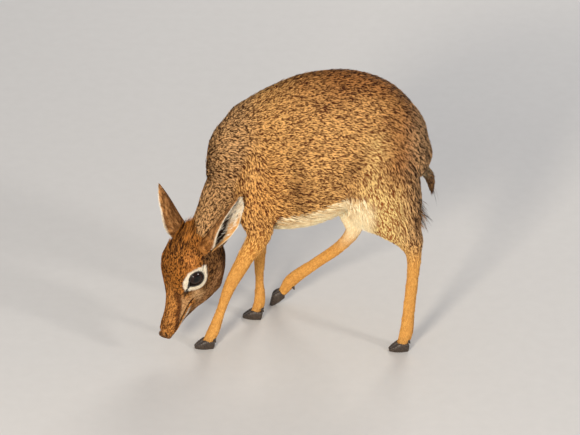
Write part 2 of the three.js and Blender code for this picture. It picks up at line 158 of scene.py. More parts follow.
def ring_faces(rows, sides, turned=False, closed=False):
    """The faces between rings of corners. Closed joins the last ring to the first."""
    low = np.arange(rows * sides).reshape(rows, sides)
    high = np.roll(low, -1, 0)
    if not closed:
        low, high = low[:-1], high[:-1]
    faces = np.stack([low, np.roll(low, -1, 1), np.roll(high, -1, 1), high], -1).reshape(-1, 4)
    return faces[:, [0, 3, 2, 1]] if turned else faces


class Loft:
    """A closed form of oval rings along a smooth spine.

    Each key holds where its ring's middle is and the ring's half sizes: across, up and down. It may also
    hold how square and how egg-like the ring is, its turn in degrees, how level it lies and the coat's depth.
    """

    def __init__(self, keys, sides, rings, grow=0.0, cap_from=0.0, cap_to=0.0, side=(0, 1, 0), mould=None):
        self.sides = sides
        spine = curve([k["at"] for k in keys])
        sizes = curve([k["half"] for k in keys])
        traits = curve([[k.get("square", 2), k.get("egg", 0), k.get("turn", 0)] for k in keys])
        levels = curve([[k.get("level", 0), 0, 0] for k in keys])
        depths = curve([[k.get("coat", grow), 0, 0] for k in keys])
        steps = np.linspace(0, math.pi / 2, 6)
        ts = np.linspace(0, 1, rings + 1)
        start = [(0.0, -math.cos(a), math.sin(a)) for a in steps]
        stop = [(1.0, math.cos(a), math.sin(a)) for a in steps[::-1]]
        rows = start + [(t, 0.0, 1.0) for t in ts[1:-1]] + stop
        t = np.array([r[0] for r in rows])
        deep = depths(t)[:, 0]
        cap = np.where(t < 0.5, cap_from, cap_to) + deep
        ends = np.clip(t, 0.001, 0.999)
        tangent = unit(spine(ends + 1e-4) - spine(ends - 1e-4))
        centre = spine(t) + tangent * (np.array([r[1] for r in rows]) * np.maximum(cap, 0.05))[:, None]
        level = levels(t)[:, :1]
        tangent = unit(tangent + (np.array([0, 0, -1.0]) - tangent) * level)
        trait = traits(t)
        across = np.array([rotated(side, (0, 0, -1), math.radians(a)) for a in trait[:, 2]])
        across = across_to(across, tangent)
        front = unit(np.cross(across, tangent))
        half = (sizes(t) + deep[:, None]) * np.array([r[2] for r in rows])[:, None]
        angle = np.arange(sides) * 2 * math.pi / sides
        c, s = np.cos(angle)[None, :], np.sin(angle)[None, :]
        bend = (2 / trait[:, 0])[:, None]
        x = half[:, :1] * np.sign(c) * np.abs(c) ** bend
        along = np.sign(s) * np.abs(s) ** bend
        x = x * (1 + trait[:, 1:2] * along)
        y = np.where(s > 0, half[:, 1:2], half[:, 2:3]) * along
        points = centre[:, None] + across[:, None] * x[..., None] + front[:, None] * y[..., None]
        self.points = points.reshape(-1, 3)
        if mould is not None:
            self.points = mould(self.points)
        self.share = np.repeat(t, sides)
        self.around = np.tile(angle, len(rows))
        self.along = np.repeat(tangent, sides, 0)
        self.quads = ring_faces(len(rows), sides)


# The animal's own measurements

def key(at, half, **more):
    return {"at": list(at), "half": list(half), **more}


TRUNK = [
    key((165, 0, 272), (27, 22, 32)),
    key((153, 0, 278), (40, 38, 46)),
    key((132, 0, 288), (50, 64, 60), egg=-0.04),
    key((103, 0, 296), (57, 91, 80), egg=-0.08),
    key((67, 0, 299), (60, BACK_HEIGHT - 299, 96), egg=-0.1),
    key((27, 0, 294), (CHEST_WIDTH / 2 + 1, 107, 106), egg=-0.1),
    key((-21, 0, 272), (CHEST_WIDTH / 2 - 3, 104, 104), egg=-0.1),
    key((-53, 0, 258), (50, 99, 96), egg=-0.08),
    key((-80, 0, 247), (42, 79, 84), egg=-0.04),
    key((-98, 0, 238), (34, 58, 64)),
    key((-110, 0, 232), (25, 36, 42)),
]
NECK = [
    key((-60, 0, 262), (42, 48, 58)),
    key((-94, -1, 225), (31, 37, 46)),
    key((-114, -7, 189), (25, 29, 36)),
    key((-128, -15, 161), (24, 25, 30)),
]
TAIL = [
    key((156, 0, 262), (10, 9, 9)),
    key((169, 0, 253), (9.5, 8, 8)),
    key((175, 0, 239), (7.5, 6, 6)),
    key((176.5, 0, 226), (4.5, 3.8, 3.8)),
]

to_nose = np.array([
    -math.cos(HEAD_PITCH) * math.cos(HEAD_YAW),
    -math.cos(HEAD_PITCH) * math.sin(HEAD_YAW),
    -math.sin(HEAD_PITCH),
])
to_left = rotated((math.sin(HEAD_YAW), -math.cos(HEAD_YAW), 0), to_nose, HEAD_ROLL)
to_crown = rotated((-math.sin(HEAD_PITCH) * math.cos(HEAD_YAW), -math.sin(HEAD_PITCH) * math.sin(HEAD_YAW),
                    math.cos(HEAD_PITCH)), to_nose, HEAD_ROLL)
HEAD_AXES = np.array([to_nose, to_left, to_crown])


def turned(along, left, up):
    return np.array([along, left, up], float) @ HEAD_AXES


def in_head(along, left, up):
    return POLL + turned(along, left, up)


def head_place(points):
    """Each point as its distance towards the nose, to the left and to the crown."""
    return (points - POLL) @ HEAD_AXES.T


def head_key(share, rise, half, egg=0.0, square=2.0, coat=-1.0):
    return key(in_head(share * HEAD_LENGTH, 0, rise), half, egg=egg, square=square, coat=coat)


HEAD = [
    head_key(-0.08, -2, (19, 18, 18), coat=-2),
    head_key(0.02, -3, (30, 32, 32), coat=-2),
    head_key(0.14, -6, (36, 46, 43.5), 0.04, coat=-1.5),
    head_key(0.27, -8, (36.5, 46.5, 49.5), 0.08),
    head_key(0.39, -8, (34.5, 41.5, 54), 0.1),
    head_key(0.51, -8, (27, 33, 45), 0.1),
    head_key(0.63, -7, (19.5, 22.5, 28.5), 0.05, coat=-0.8),
    head_key(0.75, -5, (15, 16, 18), coat=-0.7),
    head_key(0.87, -3, (12.2, 12, 12.3), coat=-0.6),
    head_key(0.96, -2.5, (9.2, 8.5, 8.6), 0, 2.3, coat=-0.5),
]
HEAD_THUMBS = [
    ((44, 27, 17), 13, (0, 2.6, 1.6)),  # brow
    ((38, 27, -26), 17, (0, 2.4, -1)),  # cheek
    ((76, 18, 1), 11, (0, -2.4, 0)),  # before the eye
    ((70, 0, 17), 12, (0, 0, -2.2)),  # stop of the forehead
    ((62, 17, -33), 13, (0, -1.5, 2.5)),  # under the jaw
    ((129, 11, 1), 10, (0, 1.8, 0.4)),  # side of the nose
    ((144, 0, 3), 9, (1.4, 0, 0.3)),  # nose tip
    ((140, 0, -14), 8, (-4.5, 0, 1)),  # chin set back
]


def press(points, thumbs):
    """Pushes the head's skin as a thumb would in clay, on both sides."""
    moved = points.copy()
    for (along, left, up), reach, push in thumbs:
        for hand in ((1, -1) if left else (1,)):
            spot = in_head(along, hand * left, up)
            near = np.exp(-np.sum((points - spot) ** 2, 1) / reach ** 2)
            moved += near[:, None] * turned(push[0], hand * push[1], push[2])
    return moved


def fore_leg(hand, elbow, knee, fetlock, toe):
    elbow, knee, fetlock, toe = (np.array(p, float) for p in (elbow, knee, fetlock, toe))
    return [
        key((-34, hand * 30, 334), (11, 20, 20), coat=-2.4),
        key((-53, hand * 35, 292), (15, 24, 32), coat=-2.4),
        key((mix(-66, elbow[0], 0.3), hand * 37, 246), (18, 26, 36), coat=-2.4),
        key((mix(-66, elbow[0], 0.6), hand * 39, 208), (17.5, 24, 29), coat=-2.2),
        key(elbow, (13.5, 17, 19), coat=-1.8),
        key(mix(elbow, knee, 0.45), (10.5, 12, 12), coat=-1.1),
        key(knee, (8.2, 8.8, 8.4), coat=-0.6),
        key(mix(knee, fetlock, 0.5), (CANNON_WIDTH / 2 - 0.5, 6.8, 6.8), coat=-0.6),
        key(fetlock, (7.6, 8.2, 8.8), coat=-0.6),
        key(toe, (7, 6, 6.6), coat=-0.6),
    ]


# Half sizes of the hind leg's rings, how level each ring lies, and the coat's depth over it
HIND_SIZES = [
    ((12, 30, 24), 0, -2.6), ((21, 44, 36), 0, -2.6), ((25, 54, 46), 0, -2.6), ((24, 51, 51), 1, -2.6),
    ((21, 50, 49), 1, -2.6), ((15.5, 34.5, 34), 1, -2.2), ((11.5, 20, 20), 0.8, -1.6),
    ((9, 12, 12.5), 0, -1), ((7, 9, 9), 0, -0.6), ((CANNON_WIDTH / 2, 9, 9), 0, -0.6),
    ((8.2, 9.8, 10), 0, -0.6), ((7.2, 6.2, 7), 0, -0.6),
]
THIGH_TURN, TURN_LESS = 16, 3  # degrees outwards at the top ring, and how much less at each ring below


def hind_leg(hand, spots):
    return [key(at, half, level=level, coat=coat, turn=hand * max(0, THIGH_TURN - TURN_LESS * i))
            for i, (at, (half, level, coat)) in enumerate(zip(spots, HIND_SIZES))]


LEGS = {
    "fore_left": fore_leg(LEFT, (-56, -42, 180), (-95, -41.5, 97), (-119, -40, 24), (-127, -39, 9)),
    "fore_right": fore_leg(RIGHT, (-52, 41, 180), (-55, 38.5, 96), (-56, 38, 25), (-62, 38, 9)),
    "hind_left": hind_leg(LEFT, [
        (124, -27, 324), (121, -35, 291), (117, -40, 257), (113, -42.5, 228), (114, -44, 208),
        (129, -46, 188), (146, -47.5, 171), (152, -48, 153), (152, -48, 122), (148, -47, 70),
        (144, -46, 26), (138, -46, 10)]),
    "hind_right": hind_leg(RIGHT, [
        (118, 27, 324), (110, 35, 291), (99, 40, 257), (86, 42.5, 228), (78, 44, 206),
        (73, 44, 182), (73, 43, 158), (73, 42, 139), (57, 45.5, 112), (22, 57.5, 76),
        (-11, 67.5, 43), (-24.5, 71.3, 21)]),
}


# Claws, as stations along each: along and up from the toe, and half sizes
CLAW = [
    ((-8, 5.4), (3.7, 7.4, 5.8)),
    ((0, 6.4), (4.2, 8, 7)),
    ((9, 4.6), (3.6, 4.6, 5.2)),
    ((HOOF_LENGTH - 11, 2.3), (1.8, 2, 2.7)),
]
CLAW_GAP = 0.4
FEET = {  # toe, heading and dip
    "fore_left": ((-127, -39, -0.4), 0.1, 0),
    "fore_right": ((-62, 38, -0.4), -0.1, 0),
    "hind_left": ((138, -46, -0.4), 0.1, 0),
    "hind_right": ((-26.5, 71.5, 9.4), -0.1, 0.72),
}

# Ears: share of the length, the radius the wall is rolled to, half the angle it covers, and its thickness
EAR = [
    (0, 10, 150, 2.6), (0.12, 11, 140, 2.6), (0.24, 13, 125, 2.4), (0.38, 17, 98, 2), (0.56, 20.5, 76, 1.8),
    (0.73, 19, 62, 1.6), (0.88, 13.5, 56, 1.4), (0.96, 8, 46, 1.3), (1, 4, 32, 1.1),
]
EARS = {  # root, tip and the way it opens
    "left": (in_head(11.3, 29.5, 7.5), in_head(-73.3, 87.7, 33.7), np.array([0.75, -0.66, -0.02])),
    "right": (in_head(15.6, -16.6, -1.6), in_head(-50, -21.5, 76), turned(0.36, -0.7, 0.61)),
}


def eye_spot(hand):
    return in_head(49.5, hand * 20.5, 5.9)


def eye_frame(hand):
    """The eye's own axes: towards its front corner, towards its upper lid, and out."""
    out = unit(turned(0.26, hand * 0.94, 0.22))
    forward = across_to(rotated(to_nose, to_left, EYE_TILT), out)
    upward = np.cross(forward, out) * hand
    return forward, upward, out


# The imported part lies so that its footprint's middle is the origin: the eye's node tells how far that is
eye_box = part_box("eye_left")
SHIFT = np.array((eye_box[0] + eye_box[1]) / 2) * 1000 - eye_spot(1)
SHIFT[2] = 0


def metres(points):
    return (np.asarray(points, float) + SHIFT) / 1000


# Blender objects from rows of points

def placed(name, data):
    made = bpy.data.objects.new(name, data)
    bpy.context.scene.collection.objects.link(made)
    return made


def new_object(name, points, faces, materials=()):
    mesh = bpy.data.meshes.new(name)
    faces = np.asarray(faces)
    mesh.vertices.add(len(points))
    mesh.vertices.foreach_set("co", metres(points).astype(np.float32).ravel())
    mesh.loops.add(faces.size)
    mesh.loops.foreach_set("vertex_index", faces.astype(np.int32).ravel())
    mesh.polygons.add(len(faces))
    mesh.polygons.foreach_set("loop_start", (np.arange(len(faces)) * faces.shape[1]).astype(np.int32))
    mesh.update(calc_edges=True)
    mesh.shade_smooth()
    for material in materials:
        mesh.materials.append(material)
    return placed(name, mesh)


def reworked(mesh, *steps):
    """Takes a mesh through steps in bmesh."""
    bm = bmesh.new()
    bm.from_mesh(mesh)
    for step in steps:
        step(bm)
    bm.to_mesh(mesh)
    bm.free()


def merged(within):
    return lambda bm: bmesh.ops.remove_doubles(bm, verts=bm.verts, dist=within)


def faced_out(bm):
    bmesh.ops.recalc_face_normals(bm, faces=bm.faces)


def welded(made):
    """Closes a piece's seams, turns its faces out and shades it smooth."""
    reworked(made.data, merged(1e-7), faced_out)
    made.data.shade_smooth()


def paint(mesh, colours, name="tint"):
    """Keeps a linear colour for each vertex."""
    layer = mesh.color_attributes.new(name, "FLOAT_COLOR", "POINT")
    rgba = np.ones((len(mesh.vertices), 4), np.float32)
    rgba[:, :3] = colours
    layer.data.foreach_set("color", rgba.ravel())


def points_of(mesh):
    co = np.empty(len(mesh.vertices) * 3, np.float32)
    mesh.vertices.foreach_get("co", co)
    return co.reshape(-1, 3).astype(float) * 1000 - SHIFT


def triangles_of(mesh):
    mesh.calc_loop_triangles()
    tri = np.empty(len(mesh.loop_triangles) * 3, np.int32)
    mesh.loop_triangles.foreach_get("vertices", tri)
    return tri.reshape(-1, 3)


def vertex_normals(points, tri):
    face = np.cross(points[tri[:, 1]] - points[tri[:, 0]], points[tri[:, 2]] - points[tri[:, 0]])
    total = np.zeros_like(points)
    for corner in range(3):
        for axis in range(3):
            total[:, axis] += np.bincount(tri[:, corner], face[:, axis], len(points))
    return unit(total)


def edges_of(tri):
    pairs = np.sort(np.concatenate([tri[:, [0, 1]], tri[:, [1, 2]], tri[:, [2, 0]]]), 1)
    return np.unique(pairs, axis=0)


def averaged(values, edges):
    """Each vertex's mean of its neighbours."""
    number = len(values)
    degree = np.bincount(edges.ravel(), minlength=number)[:, None]
    total = np.empty_like(values)
    for axis in range(values.shape[1]):
        v = values[:, axis]
        total[:, axis] = (np.bincount(edges[:, 0], v[edges[:, 1]], number)
                          + np.bincount(edges[:, 1], v[edges[:, 0]], number))
    return total / np.maximum(degree, 1)


# Skin: every form of flesh, joined and made one surface

def sphere(centre, radius, sides=40):
    rows = sides // 2
    polar = np.linspace(0.02, math.pi - 0.02, rows)
    turn = np.arange(sides) * 2 * math.pi / sides
    p = np.stack([np.outer(np.sin(polar), np.cos(turn)), np.outer(np.sin(polar), np.sin(turn)),
                  np.outer(np.cos(polar), np.ones(sides))], -1) * radius
    return p.reshape(-1, 3) + centre, ring_faces(rows, sides, turned=True)


FORMS = {
    "trunk": Loft(TRUNK, 96, 120, grow=-2.6, cap_from=9, cap_to=9),
    "neck": Loft(NECK, 72, 60, grow=-2.2, cap_from=12, cap_to=14),
    "head": Loft(HEAD, 96, 120, grow=-1, cap_from=8, cap_to=5.5, side=-to_left,
                 mould=lambda p: press(p, HEAD_THUMBS)),
    "tail": Loft(TAIL, 32, 30, grow=-1.6, cap_to=5),
}
for leg, keys in LEGS.items():
    FORMS[leg] = Loft(keys, 56, 150, cap_from=8)
PARTS = list(FORMS)
BODIES = [(form.points, form.quads) for form in FORMS.values()]


def joined(bodies):
    """The points and the faces of several bodies as one."""
    starts = np.cumsum([0] + [len(points) for points, _ in bodies[:-1]])
    return (np.concatenate([points for points, _ in bodies]),
            np.concatenate([quads + start for (_, quads), start in zip(bodies, starts)]))


def capped(bm):
    bmesh.ops.holes_fill(bm, edges=[e for e in bm.edges if e.is_boundary])


def union_skin():
    sockets = [sphere(eye_spot(hand), EYE_RADIUS + LID - 0.5) for hand in (1, -1)]
    rough = new_object("rough", *joined(BODIES + sockets))
    reworked(rough.data, merged(2e-6), capped, faced_out)
    remesh = rough.modifiers.new("remesh", "REMESH")
    remesh.mode = "VOXEL"
    remesh.voxel_size = BODY_VOXEL / 1000
    remesh.adaptivity = 0
    mesh = bpy.data.meshes.new_from_object(rough.evaluated_get(bpy.context.evaluated_depsgraph_get()))
    bpy.data.objects.remove(rough)
    return mesh


def keep_largest(bm):
    """Drops loose scraps and any sealed hollow inside the body."""
    unseen, shells = set(bm.verts), []
    while unseen:
        first = unseen.pop()
        shell, front = [first], [first]
        while front:
            vert = front.pop()
            for edge in vert.link_edges:
                other = edge.other_vert(vert)
                if other in unseen:
                    unseen.discard(other)
                    shell.append(other)
                    front.append(other)
        shells.append(shell)
    shells.sort(key=len)
    bmesh.ops.delete(bm, geom=[v for shell in shells[:-1] for v in shell], context="VERTS")


def finer_face(bm):
    """Halves the faces round the middle of the animal's face."""
    middle = Vector(metres(in_head(62, 0, 0)))
    near = [f for f in bm.faces if (f.calc_center_median() - middle).length < FACE_RADIUS / 1000]
    edges = {e for f in near for e in f.edges}
    bmesh.ops.subdivide_edges(bm, edges=list(edges), cuts=1, use_grid_fill=True)
    bmesh.ops.triangulate(bm, faces=[f for f in bm.faces if len(f.verts) > 4])


mesh = union_skin()
reworked(mesh, keep_largest, finer_face)
skin_points = points_of(mesh)
skin_tri = triangles_of(mesh)
skin_edges = edges_of(skin_tri)
count = len(skin_points)


# Where each vertex lies: its part, how far along, and the angle around

def of_all(field):
    """One field of every form, in a row."""
    return np.concatenate([getattr(form, field) for form in FORMS.values()])


owner = np.repeat(np.arange(len(FORMS)), [len(form.points) for form in FORMS.values()])
all_points, all_quads = joined(BODIES)
form_tree = BVHTree.FromPolygons([tuple(p) for p in all_points], [tuple(q) for q in all_quads.tolist()])


def lookup(points):
    """The nearest corner of the forms for each point."""
    found = np.empty(len(points), int)
    for i, p in enumerate(points):
        _, _, face, _ = form_tree.find_nearest(p)
        quad = all_quads[face]
        found[i] = quad[np.argmin(np.sum((all_points[quad] - p) ** 2, 1))]
    return found


# The remesh leaves sharp creases where forms meet: those fill, and the face and lower legs keep their shape
to_face = smooth(118, 100, np.linalg.norm(skin_points - in_head(55, 0, -3), axis=1))
to_foot = smooth(150, 90, skin_points[:, 2]) * (1 - to_face)
for _ in range(FILL_ROUNDS):
    step = averaged(skin_points, skin_edges) - skin_points
    hollow = np.sum(step * vertex_normals(skin_points, skin_tri), 1) > 0
    pull = np.where(hollow, HOLLOW_PULL, SWELL_PULL) * (1 - 0.85 * to_face) * (1 - 0.7 * to_foot)
    skin_points = skin_points + step * pull[:, None]
for _ in range(EVEN_ROUNDS):
    skin_points = skin_points + (averaged(skin_points, skin_edges) - skin_points) * EVEN_PULL


# Face: lids, mouth, nostrils, glands and folds, pressed into the skin

# The line of the mouth from its corner, as distances towards the nose and to the crown
MOUTH_LINE = [(80, -9), (87, -6.5), (96, -6.5), (106, -7), (118, -7), (132, -6.5), (152, -7)]
MOUTH = curve([(*spot, 0) for spot in MOUTH_LINE])
MOUTH_DEPTH, LIP_RISE = 1.7, 0.7
NOSTRIL = (141, 8.5, 2.5)
NOSTRIL_DEPTH, NOSTRIL_RIM = 3.2, 0.8
GLAND = (76.5, 21.3, 4.6)
GLAND_DEPTH = 1.3
LID_FOLD, LID_SWELL, SOCKET_FOLD = 0.7, 0.5, 0.5
EYE_HOLLOW = 18  # from the middle of the eye, where its opening is looked for
SHOULDER_FOLD, SHOULDER_RISE, HAUNCH_FOLD = 1.7, 1.4, 1.6

# The opening between the lids: degrees from the front corner round over the upper lid, and millimetres
LID_TURNS = [0, 9, 24, 45, 79, 121, 156, 191, 231, 262, 293, 326, 348]
LID_REACH = [13.0, 15.0, 11.2, 9.0, 8.2, 8.9, 9.4, 9.8, 10.0, 9.9, 10.0, 10.8, 11.8]
LID_SOFT = 15  # degrees over which the opening's corners are rounded
LID_TABLE = np.interp(np.arange(-12, 373), LID_TURNS, LID_REACH, period=360)
LID_TABLE = np.convolve(LID_TABLE, np.hanning(LID_SOFT) / np.hanning(LID_SOFT).sum(), "same")[12:372]


def almond(turn):
    """The opening between the lids for each angle round it, in millimetres forward and up."""
    reach = np.interp(np.degrees(turn) % 360, np.arange(360), LID_TABLE, period=360)
    return reach * np.cos(turn), reach * np.sin(turn)


def eye_place(points, hand):
    """Millimetres forward, up and out from the middle of the eye."""
    return (points - eye_spot(hand)) @ np.array(eye_frame(hand)).T


TURNS = np.linspace(-math.pi, math.pi, 181)
ALMOND = np.stack(almond(TURNS), 1)
ALMOND_TURN = np.arctan2(ALMOND[:, 1], ALMOND[:, 0])
ALMOND_ORDER = np.argsort(ALMOND_TURN)


def lid_share(place):
    """1 on the lids' edge, less inside it and more outside."""
    turn = np.arctan2(place[:, 1], place[:, 0])
    reach = np.interp(turn, ALMOND_TURN[ALMOND_ORDER], np.hypot(*ALMOND[ALMOND_ORDER].T), period=2 * math.pi)
    return np.hypot(place[:, 0], place[:, 1]) / reach


def in_opening(place, edge):
    """Whether each place by the eye lies inside edge times the lids' opening."""
    return (lid_share(place) < edge) & (place[:, 2] > 0) & (np.linalg.norm(place, axis=1) < EYE_HOLLOW)


def to_mouth(place):
    """How far a place on the head is above the line of the mouth, and how much it is beside it."""
    line = MOUTH(np.linspace(0, 1, 60))
    above = place[:, 2] - np.interp(place[:, 0], line[:, 0], line[:, 1])
    return above, smooth(80, 90, place[:, 0]) * smooth(0, 4, np.abs(place[:, 1]))


def to_nostril(place, hand):
    """How far a place on the head is along and across the slit of a nostril."""
    off = place - np.array(NOSTRIL) * (1, hand, 1)
    return off @ np.array([-0.8, 0, 0.6]), off @ np.array([0.6, 0, 0.8])


skin_normals = vertex_normals(skin_points, skin_tri)
place = head_place(skin_points)
rise = np.zeros(count)
above, beside = to_mouth(place)
beside = beside * to_face
rise -= MOUTH_DEPTH * bell((above, 1.0)) * beside
rise += LIP_RISE * (bell((above - 2.6, 1.7)) + bell((above + 2.6, 1.7))) * beside
for hand in (1, -1):
    on_side = hand * place[:, 1] > 2
    along, across = to_nostril(place, hand)
    rise -= NOSTRIL_DEPTH * bell((along, 4.0), (across, 1.3)) * on_side
    rise += NOSTRIL_RIM * bell((along, 5.0), (across - 3.4, 1.7)) * on_side
    off = place - np.array(GLAND) * (1, hand, 1)
    rise -= GLAND_DEPTH * bell((off[:, 0], 4.4), (off[:, 2], 1.5)) * (hand * off[:, 1] > -6)
    at = eye_place(skin_points, hand)
    ring = lid_share(at)
    near = (at[:, 2] > 0) & (np.linalg.norm(at, axis=1) < 26)
    rise -= LID_FOLD * bell((ring - 1.62, 0.12)) * near * smooth(-6, 3, at[:, 1])
    rise += LID_SWELL * bell((ring - 1.25, 0.14)) * near
    rise -= SOCKET_FOLD * bell((at[:, 1] + 15, 1.6), (at[:, 0] - 4, 9)) * near
side_groove = bell((place[:, 2] - 1.5, 2.6)) * smooth(90, 104, place[:, 0]) * smooth(140, 128, place[:, 0])
rise -= 0.5 * side_groove * (np.abs(place[:, 1]) > 6)

# Body: the folds behind the shoulder and before the haunch, the shoulder's edge, and a slight unevenness
x, y, z = skin_points.T
sides = smooth(20, 45, np.abs(y))
rise -= SHOULDER_FOLD * bell((x + 17 + 0.1 * (z - 265), 6), (z - 258, 42)) * sides
rise += SHOULDER_RISE * bell((x + 38, 14), (z - 250, 36)) * sides
rise -= HAUNCH_FOLD * bell((x - 64 - 0.45 * (z - 276), 6), (z - 272, 30)) * sides
rise += (noise(skin_points, 26, 3) - 0.5) * 1.6 * (1 - to_face) * (1 - to_foot)
skin_points = skin_points + skin_normals * rise[:, None]
for hand in (1, -1):
    at = eye_place(skin_points, hand)
    inside = in_opening(at, 0.98)
    far = np.linalg.norm(at[inside], axis=1, keepdims=True)
    axes = np.array(eye_frame(hand))
    skin_points[inside] = eye_spot(hand) + (at[inside] / far * np.minimum(far, EYE_RADIUS - 2.2)) @ axes
skin_normals = vertex_normals(skin_points, skin_tri)

corner = lookup(skin_points)
part = owner[corner]
share = of_all("share")[corner]
around = of_all("around")[corner]
part_is = {name: part == number for number, name in enumerate(PARTS)}
on_leg = np.any([part_is[name] for name in LEGS], 0)

# The lie of the coat: from the nose back over the head, neck and trunk, and down the legs
x, y, z = skin_points.T
lie = of_all("along")[corner]
lie[part_is["trunk"] | part_is["neck"] | part_is["head"]] *= -1
flank = 1 - np.abs(skin_normals[:, 2])
down = 0.42 * part_is["trunk"] + 0.25 * part_is["neck"] + 0.9 * smooth(100, 150, x) * part_is["trunk"]
lie[:, 2] -= down * flank
lie[:, 0] += 0.55 * smooth(150, 260, z) * on_leg
lie = across_to(lie, skin_normals)
for _ in range(LIE_ROUNDS):
    lie = across_to(mix(lie, averaged(lie, skin_edges), 0.8), skin_normals)


# Colours, given as the eye sees them and kept as light adds up

def colour(red, green, blue):
    c = np.array([red, green, blue]) / 255
    return np.where(c < 0.04045, c / 12.92, ((c + 0.055) / 1.055) ** 2.4)


def tones(table):
    """A dark and a light tone for each name."""
    return {name: (colour(*dark), colour(*light)) for name, (dark, light) in table.items()}


def layered(table, first, layers, number):
    """The dark and light tone at each point: later layers are laid over earlier ones."""
    dark, light = (np.tile(tone, (number, 1)) for tone in table[first])
    for name, amount in layers:
        amount = np.clip(amount, 0, 1)[:, None]
        dark = mix(dark, table[name][0], amount)
        light = mix(light, table[name][1], amount)
    return dark, light


COAT = tones({
    "flank": ((80, 26, 2), (255, 200, 122)),
    "saddle": ((48, 13, 0), (202, 136, 74)),
    "neck": ((52, 20, 6), (246, 194, 132)),
    "shoulder": ((86, 28, 2), (255, 190, 104)),
    "rump": ((26, 9, 2), (226, 176, 122)),
    # fold: painted shade, for the creases behind the shoulder and before the haunch
    "fold": ((36, 12, 1), (170, 116, 64)),
    # thigh: the thighs' paler coat, and also the tones of a painted highlight band
    "thigh": ((142, 70, 22), (255, 230, 152)),
    "belly": ((244, 214, 162), (255, 252, 220)),
    "leg": ((182, 116, 50), (255, 200, 108)),
    "foot": ((104, 68, 38), (190, 144, 92)),
    "throat": ((130, 92, 56), (226, 190, 142)),
    "tail": ((46, 30, 20), (134, 98, 64)),
})


def zones(points, normals, s):
    """How much each part of the coat shows, with bands of painted shade and painted highlight. s is 1 along
    the back of a form and -1 along its belly.
    """
    x, y, z = points.T
    hand = np.sign(y)
    trunk = part_is["trunk"]
    fore = part_is["fore_left"] | part_is["fore_right"]
    hind = part_is["hind_left"] | part_is["hind_right"]
    top = smooth(0.25, 0.95, normals[:, 2])
    sides = smooth(20, 45, np.abs(y)) * (trunk | hind | fore)
    low_fore = smooth(205, 150, z) * fore
    low_hind = smooth(178, 132, z) * hind
    inner = smooth(0.05, -0.5, hand * normals[:, 1]) * (fore | hind)
    under = smooth(-0.6 - 0.16 * smooth(60, -60, x), -0.86, s) * trunk
    return [
        ("neck", smooth(-46, -84, x) * (trunk | part_is["neck"])),
        ("shoulder", bell((x + 52, 30), (z - 236, 62)) * smooth(12, 34, np.abs(y))),
        ("saddle", np.maximum(top * smooth(-70, 50, x), smooth(70, 150, x) * smooth(210, 300, z))),
        ("thigh", smooth(0.2, 0.8, 1 - np.abs((x - 108) / 60)) * smooth(292, 236, z) * (hind | trunk)),
        # Painted highlight: a light band up the front of the haunch, in the thigh's tones
        ("thigh", 0.6 * bell((x - 96, 15)) * smooth(352, 318, z) * smooth(215, 240, z) * sides),
        ("rump", smooth(122, 160, x) * smooth(150, 200, z) * (trunk | hind)),
        # Painted shade in the creases behind the shoulder and before the haunch
        ("fold", 0.7 * bell((x + 4 + 0.1 * (z - 260), 11), (z - 256, 40)) * sides),
        ("fold", 0.65 * bell((x - 66 - 0.45 * (z - 290), 10), (z - 290, 28)) * sides),
        ("throat", smooth(-0.3, -0.85, s) * part_is["neck"]),
        ("leg", np.maximum(low_fore, low_hind)),
        ("belly", under),
        ("belly", inner * smooth(105, 165, z) * smooth(262, 215, z)),
        ("belly", 0.95 * bell((x - 78, 17), (z - 215, 26), power=4) * smooth(20, 36, np.abs(y))),
        ("foot", 0.75 * smooth(24, 9, z) * (fore | hind)),
        ("tail", part_is["tail"] * 0.85),
    ]


s_around = np.sin(around)
patchy = 0.5 * (noise(skin_points, 17, 11) - 0.5)  # zones run into one another unevenly
dark, light = layered(COAT, "flank", [
    (name, amount + patchy * amount * (1 - amount) * 4)
    for name, amount in zones(skin_points, skin_normals, s_around)], count)
for _ in range(TONE_ROUNDS):
    dark = mix(dark, averaged(dark, skin_edges), 0.6)
    light = mix(light, averaged(light, skin_edges), 0.6)

FACE = tones({
    "forehead": ((30, 4, 0), (212, 136, 58)),
    "muzzle": ((66, 26, 4), (232, 160, 82)),
    # groove_shade: painted shade, along the side of the muzzle and down the middle of the nose
    "groove_shade": ((44, 20, 7), (112, 62, 26)),
    "cheek": ((22, 9, 3), (158, 110, 64)),
    "jaw": ((104, 64, 34), (214, 162, 108)),
    "brow": ((90, 32, 2), (250, 170, 86)),
    "white": ((236, 220, 192), (255, 252, 238)),
    "dusk": ((14, 10, 9), (34, 25, 20)),
    "nose": ((104, 70, 44), (170, 124, 80)),
    "tan": ((150, 108, 66), (226, 184, 132)),
    "lip": ((196, 176, 152), (250, 240, 220)),
    "nape": ((96, 62, 38), (206, 162, 112)),
})

# The white ring's outer edge: degrees from the front corner round over the upper lid, and millimetres
RING_TURNS = [2, 12, 26, 46, 76, 106, 128, 154, 179, 194, 204, 227, 262, 289, 312, 331, 349]
RING_REACH = [25.5, 24.9, 21.2, 16.8, 13.6, 12.6, 12.6, 13.1, 15.7,
              19.2, 18.2, 16.1, 15.8, 17.7, 19.7, 20.5, 21.7]

# Lines on the face, as distances towards the nose and to the crown
MOUTH_CORNER, CREASE_END = np.array([80.0, -9.0]), np.array([77.5, -19.0])
TEAR = np.array([(60, 10.5), (67.5, 11.3), (72.9, 8.9), (76.5, 5.4)])
WRINKLE = np.array([(31, 6.4), (41, 4.5)])
# The line along the side of the muzzle where painted shade runs; the tan lies below it
SHADE_LINE = np.array([(80, 14.5), (83.5, 13), (101, 2.5), (126, -3.5), (136, -4.5)])


def segment_distance(points, start, end):
    run = end - start
    along = np.clip(((points - start) @ run) / (run @ run), 0, 1)
    return np.linalg.norm(points - start - along[:, None] * run, axis=1)


